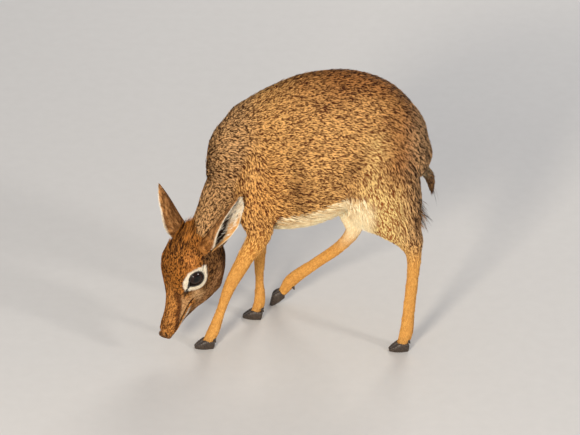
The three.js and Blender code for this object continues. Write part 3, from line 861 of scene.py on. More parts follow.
def face_tones(points):
    """The dark and light tone of the face at each point, and how much of it is bare dark skin."""
    place = head_place(points)
    a, l, u = place.T
    wobble = (noise(points, 5, 21) - 0.5) * 3
    above, _ = to_mouth(place)
    side = np.abs(l)
    beside = smooth(5, 9, side)
    crown = smooth(6, 17, u + wobble + 0.1 * (a - 40)) * smooth(100, 84, a)
    above_shade_line = u - np.interp(a, *SHADE_LINE.T)
    layers = [
        ("nape", smooth(2, -12, a)),
        ("forehead", crown),
        ("forehead", smooth(64, 44, a) * smooth(4, 14, u + wobble)),
        ("jaw", smooth(-12, -24, u + wobble) * smooth(20, 40, a)),
        ("muzzle", smooth(70, 92, a + wobble) * smooth(-9, -2, above + wobble)),
        ("tan", 0.75 * smooth(82, 90, a) * smooth(138, 128, a) * smooth(0, 1.5, above)
         * smooth(1, -3, above_shade_line) * beside),
        # Painted shade in a band along the side of the muzzle
        ("groove_shade", 0.9 * smooth(79, 86, a) * smooth(138, 128, a)
         * bell((above_shade_line + 0.4 * wobble, 3.4), power=4) * beside),
        # Painted shade in a line down the middle of the nose's top
        ("groove_shade", 0.6 * smooth(1.8, 0.5, np.abs(l + 0.4)) * smooth(88, 104, a) * smooth(0, 5, u)),
        ("tan", smooth(66, 72, a) * smooth(88, 80, a) * smooth(2, -4, u) * smooth(-26, -16, u)),
        ("lip", smooth(-2.4, -3.4, above) * smooth(-7.5, -5.5, above) * smooth(92, 104, a)),
        ("white", 0.7 * smooth(-12, -17, u) * smooth(10, 4, side) * smooth(80, 96, a)),
        ("nose", 0.8 * smooth(139, 146, a) * smooth(-8, -2, u)),
    ]
    flat = np.stack([a, u], 1)
    bare = smooth(1.6, 0.8, np.abs(above)) * smooth(78, 82, a) * smooth(1, 3, side)
    crease = segment_distance(flat, MOUTH_CORNER, CREASE_END)
    bare = np.maximum(bare, 0.55 * smooth(0.95, 0.35, crease) * smooth(1, 3, side))
    for hand in (1, -1):
        at = eye_place(points, hand)
        reach = np.hypot(at[:, 0], at[:, 1])
        turn = np.degrees(np.arctan2(at[:, 1], at[:, 0])) % 360
        edge = np.interp(turn, RING_TURNS, RING_REACH, period=360)
        near = at[:, 2] > -2
        layers.append(("brow", bell((at[:, 0] + 12, 12), (at[:, 1] - 15, 8)) * near))
        layers.append(("white", smooth(edge + 1.2, edge - 1.2, reach + 0.35 * wobble) * near))
        rim = smooth(1.3, 1.12, lid_share(at)) * near
        seen = smooth(4, 8, hand * l)
        to_tear = np.min([segment_distance(flat, *ends) for ends in zip(TEAR[:-1], TEAR[1:])], 0)
        wrinkle = 0.75 * smooth(0.9, 0.35, segment_distance(flat, *WRINKLE)) * seen
        gland = smooth(1.3, 0.8, np.hypot((a - GLAND[0] - 1.2) / 5.4, (u - GLAND[2] - 2.4) / 3.6)) * seen
        bare = np.max([bare, rim, smooth(1.7, 0.8, to_tear) * seen, 0.85 * gland, wrinkle], 0)
        along, across = to_nostril(place, hand)
        slit = smooth(1.25, 0.7, np.hypot(along / 4.0, across / 1.5))
        bare = np.maximum(bare, 0.85 * slit * (hand * l > 2))
    layers.append(("dusk", bare))
    return *layered(FACE, "cheek", layers, len(points)), bare


def face_share(points):
    """1 on the face, 0 from the nape back."""
    a = head_place(points)[:, 0]
    near = np.linalg.norm(points - in_head(60, 0, -4), axis=1)
    return smooth(-12, 4, a) * smooth(98, 88, near)


on_face = face_share(skin_points) * part_is["head"]
face_dark, face_light, bare_skin = face_tones(skin_points)
whole_dark = mix(dark, face_dark, on_face[:, None])
whole_light = mix(light, face_light, on_face[:, None])
bare_skin = bare_skin * on_face


# Materials

def node_material(name, roughness, specular, **more):
    made = bpy.data.materials.new(name)
    made.use_nodes = True
    tree = made.node_tree
    shader = tree.nodes["Principled BSDF"]
    for socket, value in {"Roughness": roughness, "Specular IOR Level": specular, **more}.items():
        shader.inputs[socket].default_value = value
    return made, tree, shader


def add_node(tree, kind, **settings):
    node = tree.nodes.new(kind)
    for name, value in settings.items():
        if name in node.inputs:
            node.inputs[name].default_value = value
        else:
            setattr(node, name, value)
    return node


def link(tree, source, outlet, target, inlet):
    tree.links.new(source.outputs[outlet], target.inputs[inlet])


def tinted(tree, shader, size, low, high, place, outlet):
    """Base colour from the vertices' tint, made lighter and darker by a fine noise. Gives the noise."""
    tint = add_node(tree, "ShaderNodeVertexColor", layer_name="tint")
    grain = add_node(tree, "ShaderNodeTexNoise", Scale=size, Detail=3.0)
    ends = {"From Min": 0.3, "From Max": 0.7, "To Min": low, "To Max": high}
    spread = add_node(tree, "ShaderNodeMapRange", **ends)
    scale = add_node(tree, "ShaderNodeVectorMath", operation="SCALE")
    link(tree, place, outlet, grain, "Vector")
    link(tree, grain, "Fac", spread, "Value")
    link(tree, tint, "Color", scale, "Vector")
    link(tree, spread, "Result", scale, "Scale")
    link(tree, scale, "Vector", shader, "Base Color")
    return grain


def ramped(tree, shader, size, detail, stops, place, outlet):
    """Base colour from a fine noise through a ramp between two colours. Gives the noise."""
    grain = add_node(tree, "ShaderNodeTexNoise", Scale=size, Detail=detail)
    ramp = add_node(tree, "ShaderNodeValToRGB")
    for element, (position, tone) in zip(ramp.color_ramp.elements, stops):
        element.position = position
        element.color = (*tone, 1)
    link(tree, place, outlet, grain, "Vector")
    link(tree, grain, "Fac", ramp, "Fac")
    link(tree, ramp, "Color", shader, "Base Color")
    return grain


def bumped(tree, shader, grain, strength, distance):
    bump = add_node(tree, "ShaderNodeBump", Strength=strength, Distance=distance)
    link(tree, grain, "Fac", bump, "Height")
    link(tree, bump, "Normal", shader, "Normal")


def skin_material(name, roughness, specular, size, spread, bump, **more):
    """Tinted skin whose grain, of size to the metre, varies by spread and stands by bump."""
    made, tree, shader = node_material(name, roughness, specular, **more)
    place = add_node(tree, "ShaderNodeTexCoord")
    bumped(tree, shader, tinted(tree, shader, size, *spread, place, "Object"), *bump)
    return made


def hair_material(name, roughness=0.6, specular=0.14, strands=3.0):
    """Tufts: fine strands run along each, by its own map named strand."""
    made, tree, shader = node_material(name, roughness, specular)
    strand = add_node(tree, "ShaderNodeUVMap", uv_map="strand")
    stretch = add_node(tree, "ShaderNodeMapping", Scale=(strands, 0.35, 1))
    link(tree, strand, "UV", stretch, "Vector")
    bumped(tree, shader, tinted(tree, shader, 2.2, 0.72, 1.22, stretch, "Vector"), 0.35, 0.0003)
    return made


def horn_material():
    """Dull dark horn, with growth rings as flat streaks."""
    made, tree, shader = node_material("hoof_horn", 0.42, 0.45)
    place = add_node(tree, "ShaderNodeTexCoord")
    stretch = add_node(tree, "ShaderNodeMapping", Scale=(1, 1, 3.2))
    link(tree, place, "Object", stretch, "Vector")
    stops = ((0.35, colour(38, 31, 27)), (0.7, colour(84, 70, 58)))
    bumped(tree, shader, ramped(tree, shader, 420.0, 4.0, stops, stretch, "Vector"), 0.4, 0.0004)
    return made


WET_COAT = {"Coat Weight": 1.0, "Coat IOR": 1.37, "Coat Roughness": 0.02}
HIDE = skin_material("undercoat", 0.8, 0.08, 900.0, (0.75, 1.15), (0.5, 0.0006))
BARE = skin_material("bare_skin", 0.38, 0.5, 1500.0, (0.7, 1.3), (0.4, 0.0003))
WET = skin_material("eye_wet", 0.3, 0.0, 1400.0, (0.75, 1.25), (0.05, 0.0001), **WET_COAT)
BODY_HAIR = hair_material("body_hair")
FACE_HAIR = hair_material("face_hair", 0.6, 0.12, 2.0)
LEG_HAIR = hair_material("leg_hair", 0.58, 0.16, 2.0)
EAR_HAIR = hair_material("ear_hair")
HORN = horn_material()

FLESH = [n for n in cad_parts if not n.startswith(("eye", "ear", "hoof"))]
skin = placed("skin", mesh)
mesh.name = "skin"
mesh.vertices.foreach_set("co", metres(skin_points).astype(np.float32).ravel())
mesh.update()
mesh.shade_smooth()
mesh.materials.clear()
mesh.materials.append(HIDE)
under = mix(whole_dark, whole_light, (0.25 + 0.35 * on_face)[:, None])
plain_leg = smooth(150, 100, skin_points[:, 2]) * (1 - on_face) * on_leg
paint(mesh, mix(under, mix(whole_dark, whole_light, 0.5), plain_leg[:, None]))
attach(skin, "root")
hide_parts(*FLESH)


# Coat: where tufts grow, how long and how wide they are, and how far they stand out

FIELDS = {
    "length": np.full(count, 5.6),
    "width": np.full(count, 1.3),
    "lift": np.full(count, 0.17),
    "thick": np.full(count, 1.3),  # tufts on a square millimetre
    "lie": lie,
}


def lay(mask, **values):
    """Changes the coat's measures by how much mask holds."""
    amount = np.clip(np.asarray(mask, float), 0, 1)
    for name, value in values.items():
        FIELDS[name] = mix(FIELDS[name], value, amount)


a, l, u = head_place(skin_points).T
belly_low = smooth(-0.6, -0.85, s_around) * part_is["trunk"]
groin = bell((x - 78, 20), (z - 215, 30), power=4)
near_eye = np.zeros(count)
in_lids = np.zeros(count, bool)
for hand in (1, -1):
    at = eye_place(skin_points, hand)
    near_eye = np.maximum(near_eye, smooth(20, 14, np.linalg.norm(at[:, :2], axis=1)) * (at[:, 2] > 0))
    in_lids |= in_opening(at, 1.12)

lay(smooth(60, 150, x) * smooth(180, 260, z), length=7.0)
lay(part_is["neck"], length=4.6, width=1.15, lift=0.15, thick=1.7)
lay(belly_low * smooth(-70, -20, x), length=12.0, thick=1.1)
lay(groin * (1 - part_is["tail"]), length=12.0, thick=1.2)
lay(on_leg * smooth(190, 135, z), length=6.0, width=1.0, lift=0.10, thick=1.5)
lay(on_leg * smooth(125, 85, z), length=4.2, width=0.85, lift=0.08, thick=1.8)
lay(on_leg * smooth(26, 14, z), length=6.0, width=0.9, lift=0.12, thick=2.0)
lay(part_is["tail"], length=10.0, width=1.1, lift=0.12, thick=1.4)
lay(on_face, length=3.8, width=0.85, lift=0.12, thick=2.3)
lay(on_face * smooth(80, 100, a), length=3.2, width=0.65, lift=0.08, thick=3.0)
lay(on_face * smooth(-16, -30, u) * smooth(60, 20, a), length=5.5, lift=0.14, thick=2.0)
lay(on_face * smooth(4, 14, u) * smooth(70, 56, a), length=4.4, width=0.85, lift=0.13, thick=2.4)
lay(near_eye, length=2.6, width=0.6, thick=3.6)
soles = on_leg & (skin_normals[:, 2] < -0.8) & (z < 22)
FIELDS["thick"] *= (1 - 0.97 * bare_skin) * ~(in_lids | soles)

# The way in which each part's flecks are stretched
FLECK_WAYS = {"trunk": (0.95, 0, -0.3), "neck": (0.5, 0, 0.85), "head": to_nose}
fleck_ways = np.array([unit(FLECK_WAYS.get(name, (0, 0, 1))) for name in PARTS])[part]
FLECK_STRETCH = 0.4
FLECK_SHARE = 0.66  # of a tuft's tone, which its neighbours share; the rest is its own chance
FLECK_EDGE = (0.41, 0.59)


def sown(tri, chance, rng):
    """Places spread evenly over the triangles by chance, as rows of triangle and corner weights."""
    p = skin_points[tri]
    area = np.linalg.norm(np.cross(p[:, 1] - p[:, 0], p[:, 2] - p[:, 0]), axis=1) / 2
    total = np.cumsum(area * chance)
    number = int(total[-1])
    pick = np.searchsorted(total, (np.arange(number) + rng.random(number)) * total[-1] / number)
    pick = np.minimum(pick, len(tri) - 1)
    r1, r2 = np.sqrt(rng.random(number)), rng.random(number)
    return tri[pick], np.stack([1 - r1, r1 * (1 - r2), r1 * r2], 1)


def at_places(corners, weights, field):
    value = field[corners]
    return np.sum(value * (weights[..., None] if value.ndim == 3 else weights), 1)


skin_tree = BVHTree.FromPolygons([tuple(p) for p in skin_points], [tuple(t) for t in skin_tri.tolist()])


def settled(points, heights):
    """Each point brought to its height over the skin."""
    out = np.empty_like(points)
    for i, (p, h) in enumerate(zip(points, heights)):
        spot, normal, _, _ = skin_tree.find_nearest(p)
        out[i] = (spot[0] + normal[0] * h, spot[1] + normal[1] * h, spot[2] + normal[2] * h)
    return out


def patch_of(corners, weights):
    """The root's place on an unwrap of the skin: a strip for each part, angle across and length along."""
    main = corners[:, 0]
    part_here = part[main]
    strips = np.bincount(part_here, minlength=len(PARTS)).astype(float)
    strips = np.where(strips > 0, np.maximum(strips, strips.sum() * 0.03), 0)
    strips /= strips.sum()
    starts = np.concatenate([[0], np.cumsum(strips)[:-1]])
    inside = weights @ np.array([[0.0, 0.0], [1.0, 0.0], [0.5, 1.0]])
    across = around[main] / (2 * math.pi) + (inside[:, 0] - 0.5) * 0.012
    along = share[main] + (inside[:, 1] - 0.4) * 0.012
    across = starts[part_here] + strips[part_here] * np.clip(across, 0.0, 1.0)
    return np.clip(np.stack([across, along], 1) * PATCH_SPAN + PATCH_LOW, *PATCH_ENDS)


# A long tuft has two corners at its root, three at its bend and one at its tip. A short one has its root,
# its left, its right and its tip.
LONG_FACES = np.array([(0, 1, 3), (0, 3, 2), (1, 4, 3), (2, 3, 5), (3, 4, 5)])
SHORT_FACES = np.array([(0, 3, 1), (0, 2, 3)])
LONG_UV = np.array([(0.2, 0), (0.8, 0), (0, 0.5), (0.5, 0.5), (1, 0.5), (0.5, 1)])
SHORT_UV = np.array([(0.5, 0), (0, 0.45), (1, 0.45), (0.5, 1)])
LONG_SINK, SHORT_SINK = 0.7, 0.35  # of a root into the skin
LONG_BEND, SHORT_BEND = 0.5, 0.45  # where a tuft is widest, as a share of its length
ROOT_SHARE, RIDGE_SHARE = 0.7, 0.22  # the root's width and the ridge's height, as shares of the width


def across_tuft(normals, headings, roll):
    side = unit(np.cross(headings, normals))
    return side * np.cos(roll)[:, None] + normals * np.sin(roll)[:, None]


def blades(roots, normals, headings, long_, wide, rise_, roll, sink=LONG_SINK, follow=True):
    """Corners of long tufts, folded along a ridge and bent. Follow keeps them over the skin."""
    tilt = across_tuft(normals, headings, roll)
    middle = roots + headings * (LONG_BEND * long_)[:, None]
    tip = roots + headings * long_[:, None]
    if follow:
        middle = settled(middle, 0.35 + rise_ * long_ * 0.55)
        tip = settled(tip, 0.25 + rise_ * long_ * 0.8)
    else:
        middle = middle + normals * (0.3 + rise_ * long_ * 0.6)[:, None]
        tip = tip + normals * (rise_ * long_)[:, None]
    half = tilt * (wide / 2)[:, None]
    base = roots - normals * sink
    ridge = np.cross(tilt, headings) * (wide * RIDGE_SHARE)[:, None]
    return np.stack([base - half * ROOT_SHARE, base + half * ROOT_SHARE,
                     middle - half, middle + ridge, middle + half, tip], 1)


def kites(roots, normals, headings, long_, wide, rise_, roll, sink=SHORT_SINK):
    """Corners of short tufts."""
    half = across_tuft(normals, headings, roll) * (wide / 2)[:, None]
    height = rise_ * long_
    middle = roots + headings * (SHORT_BEND * long_)[:, None]
    middle = middle + normals * (height * 0.5 - wide * 0.1)[:, None]
    tip = roots + headings * long_[:, None] + normals * height[:, None]
    return np.stack([roots - normals * sink, middle - half, middle + half, tip], 1)


def corner_tints(short, root, middle, tip):
    return np.stack([root, middle, middle, tip] if short else [root, root, middle, middle, middle, tip], 1)


def tuft_piece(name, corners_xyz, tints, patches, material, rng):
    """One mesh of many tufts, each with its colours, its patch of the bake's map and its own strands."""
    number, size = corners_xyz.shape[:2]
    faces_one, uv_one = (SHORT_FACES, SHORT_UV) if size == len(SHORT_UV) else (LONG_FACES, LONG_UV)
    faces = (faces_one[None] + (np.arange(number) * size)[:, None, None]).reshape(-1, 3)
    made = new_object(name, corners_xyz.reshape(-1, 3), faces, [material])
    paint(made.data, tints.reshape(-1, 3))
    loop_uv = np.tile(uv_one[faces_one.ravel()], (number, 1))
    loop_tuft = np.repeat(np.arange(number), faces_one.size)
    shift = rng.random((number, 2)) * 40
    bake = made.data.uv_layers.new(name="OFBake")
    bake.data.foreach_set("uv", (patches[loop_tuft] + loop_uv * ROOT_PATCH).astype(np.float32).ravel())
    strand = made.data.uv_layers.new(name="strand")
    strand.data.foreach_set("uv", (loop_uv + shift[loop_tuft]).astype(np.float32).ravel())
    made.data.uv_layers.active = made.data.uv_layers["OFBake"]
    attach(made, "root")
    return made


def grizzled(dark_tone, light_tone, grain, rng, salt, fleck, even):
    """Root, middle and tip colours of tufts, in dark and light flecks. Even evens them out."""
    number = len(grain)
    chance = (1 - FLECK_SHARE) * rng.random(number) + FLECK_SHARE * noise(grain, fleck, salt)
    level = smooth(*FLECK_EDGE, chance)
    level = mix(level, 0.5 + 0.3 * (level - 0.5), even)
    tip = mix(dark_tone, light_tone, level[:, None])
    tip = tip * (0.9 + 0.2 * rng.random(number))[:, None]
    middle = mix(mix(dark_tone, light_tone, 0.15), tip, 0.8)
    root = mix(dark_tone, light_tone, 0.1) * (0.7 + 0.25 * np.reshape(even, (-1, 1)))
    return root, middle, tip


def coat_of(name, chosen, short, material, slot_name, salt, even=0.0, fleck=0.95, unruly=0.15, over=None,
            settle=True, **changed):
    """Sows tufts over the chosen vertices' triangles.

    Over is a dark and a light tone that are laid over the coat's own, and how much. Changed are this coat's
    own measures in the place of those in FIELDS, each one number or one for each vertex.
    """
    rng = np.random.default_rng(SEED * 1000 + salt)
    fields = {field: value if np.ndim(value) else np.full(count, float(value))
              for field, value in {**FIELDS, "even": even, **changed}.items()}
    tri = skin_tri[np.all(chosen[skin_tri], 1)]
    corners, weights = sown(tri, fields["thick"][tri].mean(1), rng)
    number = len(corners)

    def here(field):
        return at_places(corners, weights, field)

    roots = here(skin_points)
    normals = unit(here(skin_normals))
    headings = across_to(here(fields["lie"]), normals)
    swing = rng.normal(0, unruly, number) + (noise(roots, 12, salt % 10 + 5) - 0.5) * 1.8 * unruly
    side = np.cross(normals, headings)
    headings = unit(headings * np.cos(swing)[:, None] + side * np.sin(swing)[:, None])
    long_ = here(fields["length"]) * rng.uniform(0.75, 1.25, number)
    wide = here(fields["width"]) * rng.uniform(0.75, 1.3, number)
    rise_ = here(fields["lift"]) * rng.uniform(0.5, 1.5, number)
    roll = rng.normal(0, 0.25, number)
    tone_dark, tone_light = here(dark), here(light)
    face_amount = here(on_face)[:, None]
    if face_amount.max() > 0:
        over = (*face_tones(roots)[:2], face_amount)
    if over is not None:
        tone_dark, tone_light = mix(tone_dark, over[0], over[2]), mix(tone_light, over[1], over[2])
    way = fleck_ways[corners[:, 0]]
    shown = roots + headings * (0.75 * long_)[:, None]  # a tuft is seen near its tip
    grain = shown - way * (FLECK_STRETCH * np.sum(shown * way, 1))[:, None]
    colours = grizzled(tone_dark, tone_light, grain, rng, salt % 10, fleck, here(fields["even"]))
    measures = (roots, normals, headings, long_, wide, rise_, roll)
    xyz = kites(*measures) if short else blades(*measures, follow=settle)
    tints = corner_tints(short, *colours)
    patches = patch_of(corners, weights)
    parts = max(1, math.ceil(number / (MOST_SHORT if short else MOST_LONG)))
    for i in range(parts):
        cut = slice(i * number // parts, (i + 1) * number // parts)
        label = name if parts == 1 else f"{name}_{i + 1}"
        tuft_piece(label, xyz[cut], tints[cut], patches[cut], material, rng)


plain = np.clip(on_leg * smooth(170, 130, z) + belly_low + groin, 0, 1) * 0.9
body_here = ~(on_leg & (z < 128)) & (on_face < 0.5)
quarters = [(f"{end}_{side}", of_end & of_side) for end, of_end in (("rear", x > 10), ("front", x <= 12))
            for side, of_side in (("left", y < 0), ("right", y >= 0))]
for number, (quarter, of_quarter) in enumerate(quarters):
    coat_of(f"coat_{quarter}", body_here & of_quarter, True, BODY_HAIR, "body_coat", 1 + 10 * number, plain)
for end, salt in (("fore", 5), ("hind", 6)):
    of_legs = on_leg & (z < 131) & (part_is[f"{end}_left"] | part_is[f"{end}_right"])
    coat_of(f"coat_legs_{end}", of_legs, True, LEG_HAIR, "leg_coat", salt, plain)
face_even = np.maximum(0.9 * near_eye, 0.1 * smooth(76, 96, a) * on_face)
coat_of("coat_face", on_face > 0.4, True, FACE_HAIR, "face_coat", 7, face_even, fleck=1.1, unruly=0.11)


# Longer hair: over the body in a loose outer layer, along the belly, before and behind the thighs, and on
# the rump, tail and crown

def combed(way):
    """The way in which hair lies that is combed one way."""
    return across_to(np.array(way) + np.zeros((count, 3)), skin_normals)


def long_hair(name, where, edge, salt, **more):
    coat_of(name, where > edge, False, BODY_HAIR, "body_coat", salt, **more)


HAUNCH_TONES = (colour(24, 13, 7), colour(140, 98, 60))
loose = np.full(count, 0.05) * (1 - on_face) * smooth(150, 190, z) * (1 - 0.7 * part_is["neck"])
belly_edge = bell((s_around + 0.8, 0.17)) * part_is["trunk"] * smooth(-70, -30, x) * smooth(120, 95, x)
thigh_front = bell((x - 74 - 0.1 * (z - 215), 11), (z - 222, 24)) * smooth(18, 30, np.abs(y))
rump_low = smooth(118, 150, x) * smooth(178, 205, z) * smooth(300, 262, z) * (1 - on_face)
haunch = bell((z - 220, 12)) * smooth(0.3, 0.8, skin_normals[:, 0]) * smooth(120, 140, x) * (1 - on_face)
tail_here = part_is["tail"] & (x > 158)
hanging = combed((0.25, 0, -1.0))
long_hair("outer_coat", loose, 0.02, 8, even=plain, thick=loose,
          length=FIELDS["length"] * 1.25 + 2, width=1.1, lift=FIELDS["lift"] * 1.3, unruly=0.2)
long_hair("belly_hair", belly_edge, 0.15, 9, thick=belly_edge * 0.85, lie=combed((0.93, 0, -0.36)),
          length=23.0, width=1.2, lift=0.10, unruly=0.14, over=(*COAT["belly"], 0.75))
long_hair("thigh_hair", thigh_front, 0.12, 19, thick=thigh_front * 0.9, lie=hanging,
          length=20.0, width=1.2, lift=0.09, unruly=0.14, over=(*COAT["belly"], 0.8))
long_hair("rump_hair", rump_low, 0.1, 29, thick=rump_low * 0.32,
          length=19.0, width=1.1, lift=0.12, unruly=0.2)
long_hair("haunch_hair", haunch, 0.15, 59, thick=haunch * 0.2, lie=hanging, settle=False,
          length=23.0, width=0.7, lift=0.42, unruly=0.26, over=(*HAUNCH_TONES, 0.8))
long_hair("tail_hair", tail_here, 0, 39, thick=0.9, length=19.0, width=1.0, lift=0.10, unruly=0.18)

CREST_SPOT, CREST_REACH = 9, (22, 15)  # from the poll towards the nose, and how far along and across
crest = on_face * bell((a - CREST_SPOT, CREST_REACH[0]), (l, CREST_REACH[1]), power=4) * smooth(12, 22, u)
crest_way = across_to(turned(-1, 0, 0.1) - np.outer(0.012 * l, to_left), skin_normals)
coat_of("crown_tuft", crest > 0.2, False, FACE_HAIR, "face_coat", 49, thick=crest * 2.2, lie=crest_way,
        length=mix(9.0, 21.0, crest), width=0.8, lift=mix(0.12, 0.4, crest), unruly=0.08, fleck=1.4,
        settle=False)


# Ears: a thin cup of skin with short fur on its back, long white hair inside and a pale rim

WALL_SHARE = 0.6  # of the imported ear's wall, which the skin alone takes up
EAR_FOLD = 0.35  # height of the cup's lengthwise folds


def ear_wall(ear, t, sweep, side):
    """Places on an ear's wall: t runs from root to tip, sweep from -1 to 1 across, side is 1 on its back."""
    root, tip, facing = EARS[ear]
    rolled, opened, deep = (curve([(k[0], k[i], 0) for k in EAR])(t) for i in (1, 2, 3))
    along = unit(tip - root)
    out = across_to(facing, along)
    across = np.cross(along, out)
    spine = root + (tip - root) * rolled[:, :1] - out * (EAR[0][1] * (1 - rolled[:, :1]))
    curl = rolled[:, 1]
    fold = EAR_FOLD * np.cos(sweep * 15 + 1.3 * np.sin(t * 5)) * np.sin(math.pi * t) * (1 - sweep ** 2)
    radius = curl + side * 0.5 * (deep[:, 1] * WALL_SHARE) * (1 - 0.55 * sweep ** 4) + fold
    turn = sweep * np.radians(opened[:, 1])
    return (spine + out * (curl - radius * np.cos(turn))[:, None]
            + across * (radius * np.sin(turn))[:, None])


def ear_axes(ear, t, sweep, side):
    """Unit vectors on the wall: towards the tip, towards the far rim, and out of the wall."""
    t = np.clip(t, 0.01, 0.99)
    tipward = unit(ear_wall(ear, t + 0.01, sweep, side) - ear_wall(ear, t - 0.01, sweep, side))
    sideways = ear_wall(ear, t, sweep + 0.02, side) - ear_wall(ear, t, sweep - 0.02, side)
    sideways = across_to(sideways, tipward)
    out = np.cross(tipward, sideways) * side
    return tipward, sideways, out


EAR_TONES = tones({
    "back": ((104, 62, 30), (238, 176, 110)),
    "root": ((92, 46, 12), (232, 162, 88)),
    "edge": ((224, 204, 172), (255, 252, 238)),
    "bare": ((28, 17, 12), (80, 56, 42)),
    "down": ((230, 204, 168), (255, 252, 236)),
    "lobe": ((208, 146, 78), (246, 200, 134)),
})
MEDIAL = {"left": -1, "right": 1}  # the sweep of the rim next to the crown
# How far across the cup the bare dark skin reaches, for each share of its length
BARE_AT = [0.2, 0.3, 0.4, 0.5, 0.6, 0.7, 0.8, 0.9]
BARE_TO = [0.78, 0.7, 0.56, 0.4, 0.24, 0.3, 0.35, 0.2]


def ear_tones(ear, t, sweep, side):
    """The dark and light tone on an ear's wall."""
    inward = sweep * MEDIAL[ear]  # 1 at the rim next to the crown
    rim = smooth(0.9, 0.95, np.abs(sweep) + 0.05 * smooth(0.9, 1, t))
    if side > 0:
        layers = [("root", smooth(0.36, 0.16, t)), ("edge", 0.9 * rim * smooth(0.1, 0.3, t))]
        return layered(EAR_TONES, "back", layers, len(t))
    streak = noise(np.stack([sweep * 8, t * 3.5, t * 0], 1), 1.0, 31)
    dots = noise(np.stack([sweep * 14, t * 22, t * 0], 1), 1.0, 32)
    ends = smooth(0.05, 0.14, t) * smooth(0.93, 0.84, t)
    edge = -np.interp(t, BARE_AT, BARE_TO)
    ragged = inward + 0.16 * (streak - 0.5)
    bare = smooth(edge - 0.05, edge + 0.05, ragged) * smooth(0.93, 0.84, inward) * ends
    thin = 0.8 * smooth(-0.9, -0.8, inward) * smooth(0.68, 0.8, dots) * ends * smooth(0.3, 0.5, t)
    lobe = smooth(0.54, 0.4, t) * smooth(edge, edge - 0.12, inward)
    low_rim = smooth(-0.8, -0.9, inward) * smooth(0.62, 0.5, t)
    rim = rim * (1 - 0.75 * (inward > 0) * smooth(0.24, 0.32, t) * smooth(0.62, 0.5, t))
    layers = [("bare", np.maximum(bare, thin)), ("edge", rim), ("lobe", np.maximum(0.85 * lobe, low_rim))]
    return layered(EAR_TONES, "down", layers, len(t))


def ear_skin(ear):
    rows, columns = 80, 40
    around_ear = 2 * columns
    sweep_out = np.linspace(-1, 1, columns)
    t = np.repeat(np.linspace(0, 1, rows), around_ear)
    sweep = np.tile(np.concatenate([sweep_out, sweep_out[::-1]]), rows)
    side = np.tile(np.repeat([1.0, -1.0], columns), rows)
    quads = ring_faces(rows, around_ear)
    for row, flip in ((0, 1), (rows - 1, -1)):
        ends = row * around_ear + np.arange(around_ear)
        cap = [(ends[i + 1], ends[i], ends[-1 - i], ends[-2 - i])[::flip] for i in range(columns - 1)]
        quads = np.concatenate([quads, np.array(cap)])
    made = new_object(f"ear_skin_{ear}", ear_wall(ear, t, sweep, side), quads, [HIDE])
    back, front = ear_tones(ear, t, sweep, 1), ear_tones(ear, t, sweep, -1)
    paint(made.data, np.where(side[:, None] > 0, mix(*back, 0.35), mix(*front, 0.45)))
    welded(made)
    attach(made, "root")
    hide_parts(f"ear_{ear}")


def ear_hair(ear, name, number, side, spread, size, wide, stand, fan, salt, tone=None):
    """Tufts on one side of an ear's wall. Spread gives their t and sweep, fan their turn from the tip."""
    rng = np.random.default_rng(SEED * 1000 + salt)
    t, sweep = spread(rng, number)
    roots = ear_wall(ear, t, sweep, side)
    tipward, sideways, out = ear_axes(ear, t, sweep, side)
    angle = fan(sweep) + rng.normal(0, 0.14, number)
    headings = unit(tipward * np.cos(angle)[:, None] + sideways * np.sin(angle)[:, None])
    long_ = size * rng.uniform(0.7, 1.25, number)
    long_ = np.minimum(long_, 0.6 + (1.0 - t) * EAR_LENGTH)
    tone_dark, tone_light = tone or ear_tones(ear, t, sweep, side)
    grain = np.stack([sweep * 16, t * 30, t * 0], 1)
    colours = grizzled(tone_dark, tone_light, grain, rng, salt, 1.5, np.full(number, 0.3))
    widths = wide * rng.uniform(0.75, 1.25, number)
    roll = rng.normal(0, 0.3, number)
    measures = (roots, out, headings, long_, widths, stand * rng.uniform(0.5, 1.5, number), roll)
    short = size < 7
    xyz = kites(*measures, sink=0.15) if short else blades(*measures, sink=0.2, follow=False)
    half = 0.0 if side > 0 else 0.5
    patches = np.stack([half + PATCH_LOW + 0.48 * (sweep + 1) / 2, PATCH_LOW + PATCH_SPAN * t], 1)
    patches = np.clip(patches, *PATCH_ENDS)
    tuft_piece(f"{name}_{ear}", xyz, corner_tints(short, *colours), patches, EAR_HAIR, rng)


def over_wall(rng, number):
    return rng.uniform(0.04, 0.985, number), rng.uniform(-0.98, 0.98, number)


def on_rim(rng, number):
    return rng.uniform(0.12, 0.995, number), rng.choice([-1, 1], number) * rng.uniform(0.97, 0.998, number)


# Long white hair rises in rows: one by the rim next to the crown, the others from the cup's middle outwards
ROW_SWEEPS, ROW_SHARES = [0.92, -0.15, -0.34, -0.58, -0.78], [0.24, 0.16, 0.28, 0.18, 0.14]


def in_rows(rng, number, medial):
    row = rng.choice(ROW_SWEEPS, number, p=ROW_SHARES)
    t = rng.uniform(0.08, 0.86, number)
    return t, np.clip(medial * (row + rng.normal(0, 0.03, number)), -0.97, 0.97)


for ear, medial in MEDIAL.items():
    ear_skin(ear)
    # Name, how many, side, places, length, width, how far they stand out, fan and salt
    ear_hair(ear, "ear_back", 11000, 1, over_wall, 4.2, 0.8, 0.10, lambda sweep: 0.3 * sweep, 61)
    ear_hair(ear, "ear_rim", 2600, 1, on_rim, 2.6, 0.5, 0.08, lambda sweep: 0.4 * np.sign(sweep), 62,
             EAR_TONES["edge"])
    ear_hair(ear, "ear_inside", 6500, -1, over_wall, 3.6, 0.7, 0.10, lambda sweep: 0.2 * sweep, 63)
    ear_hair(ear, "ear_white", 260, -1, lambda rng, number: in_rows(rng, number, medial), 9.0, 0.7, 0.10,
             lambda sweep: -0.34 * medial, 64, EAR_TONES["edge"])


# Eyes: a dark ball with a bulging cornea, its lids' wet rims and lashes

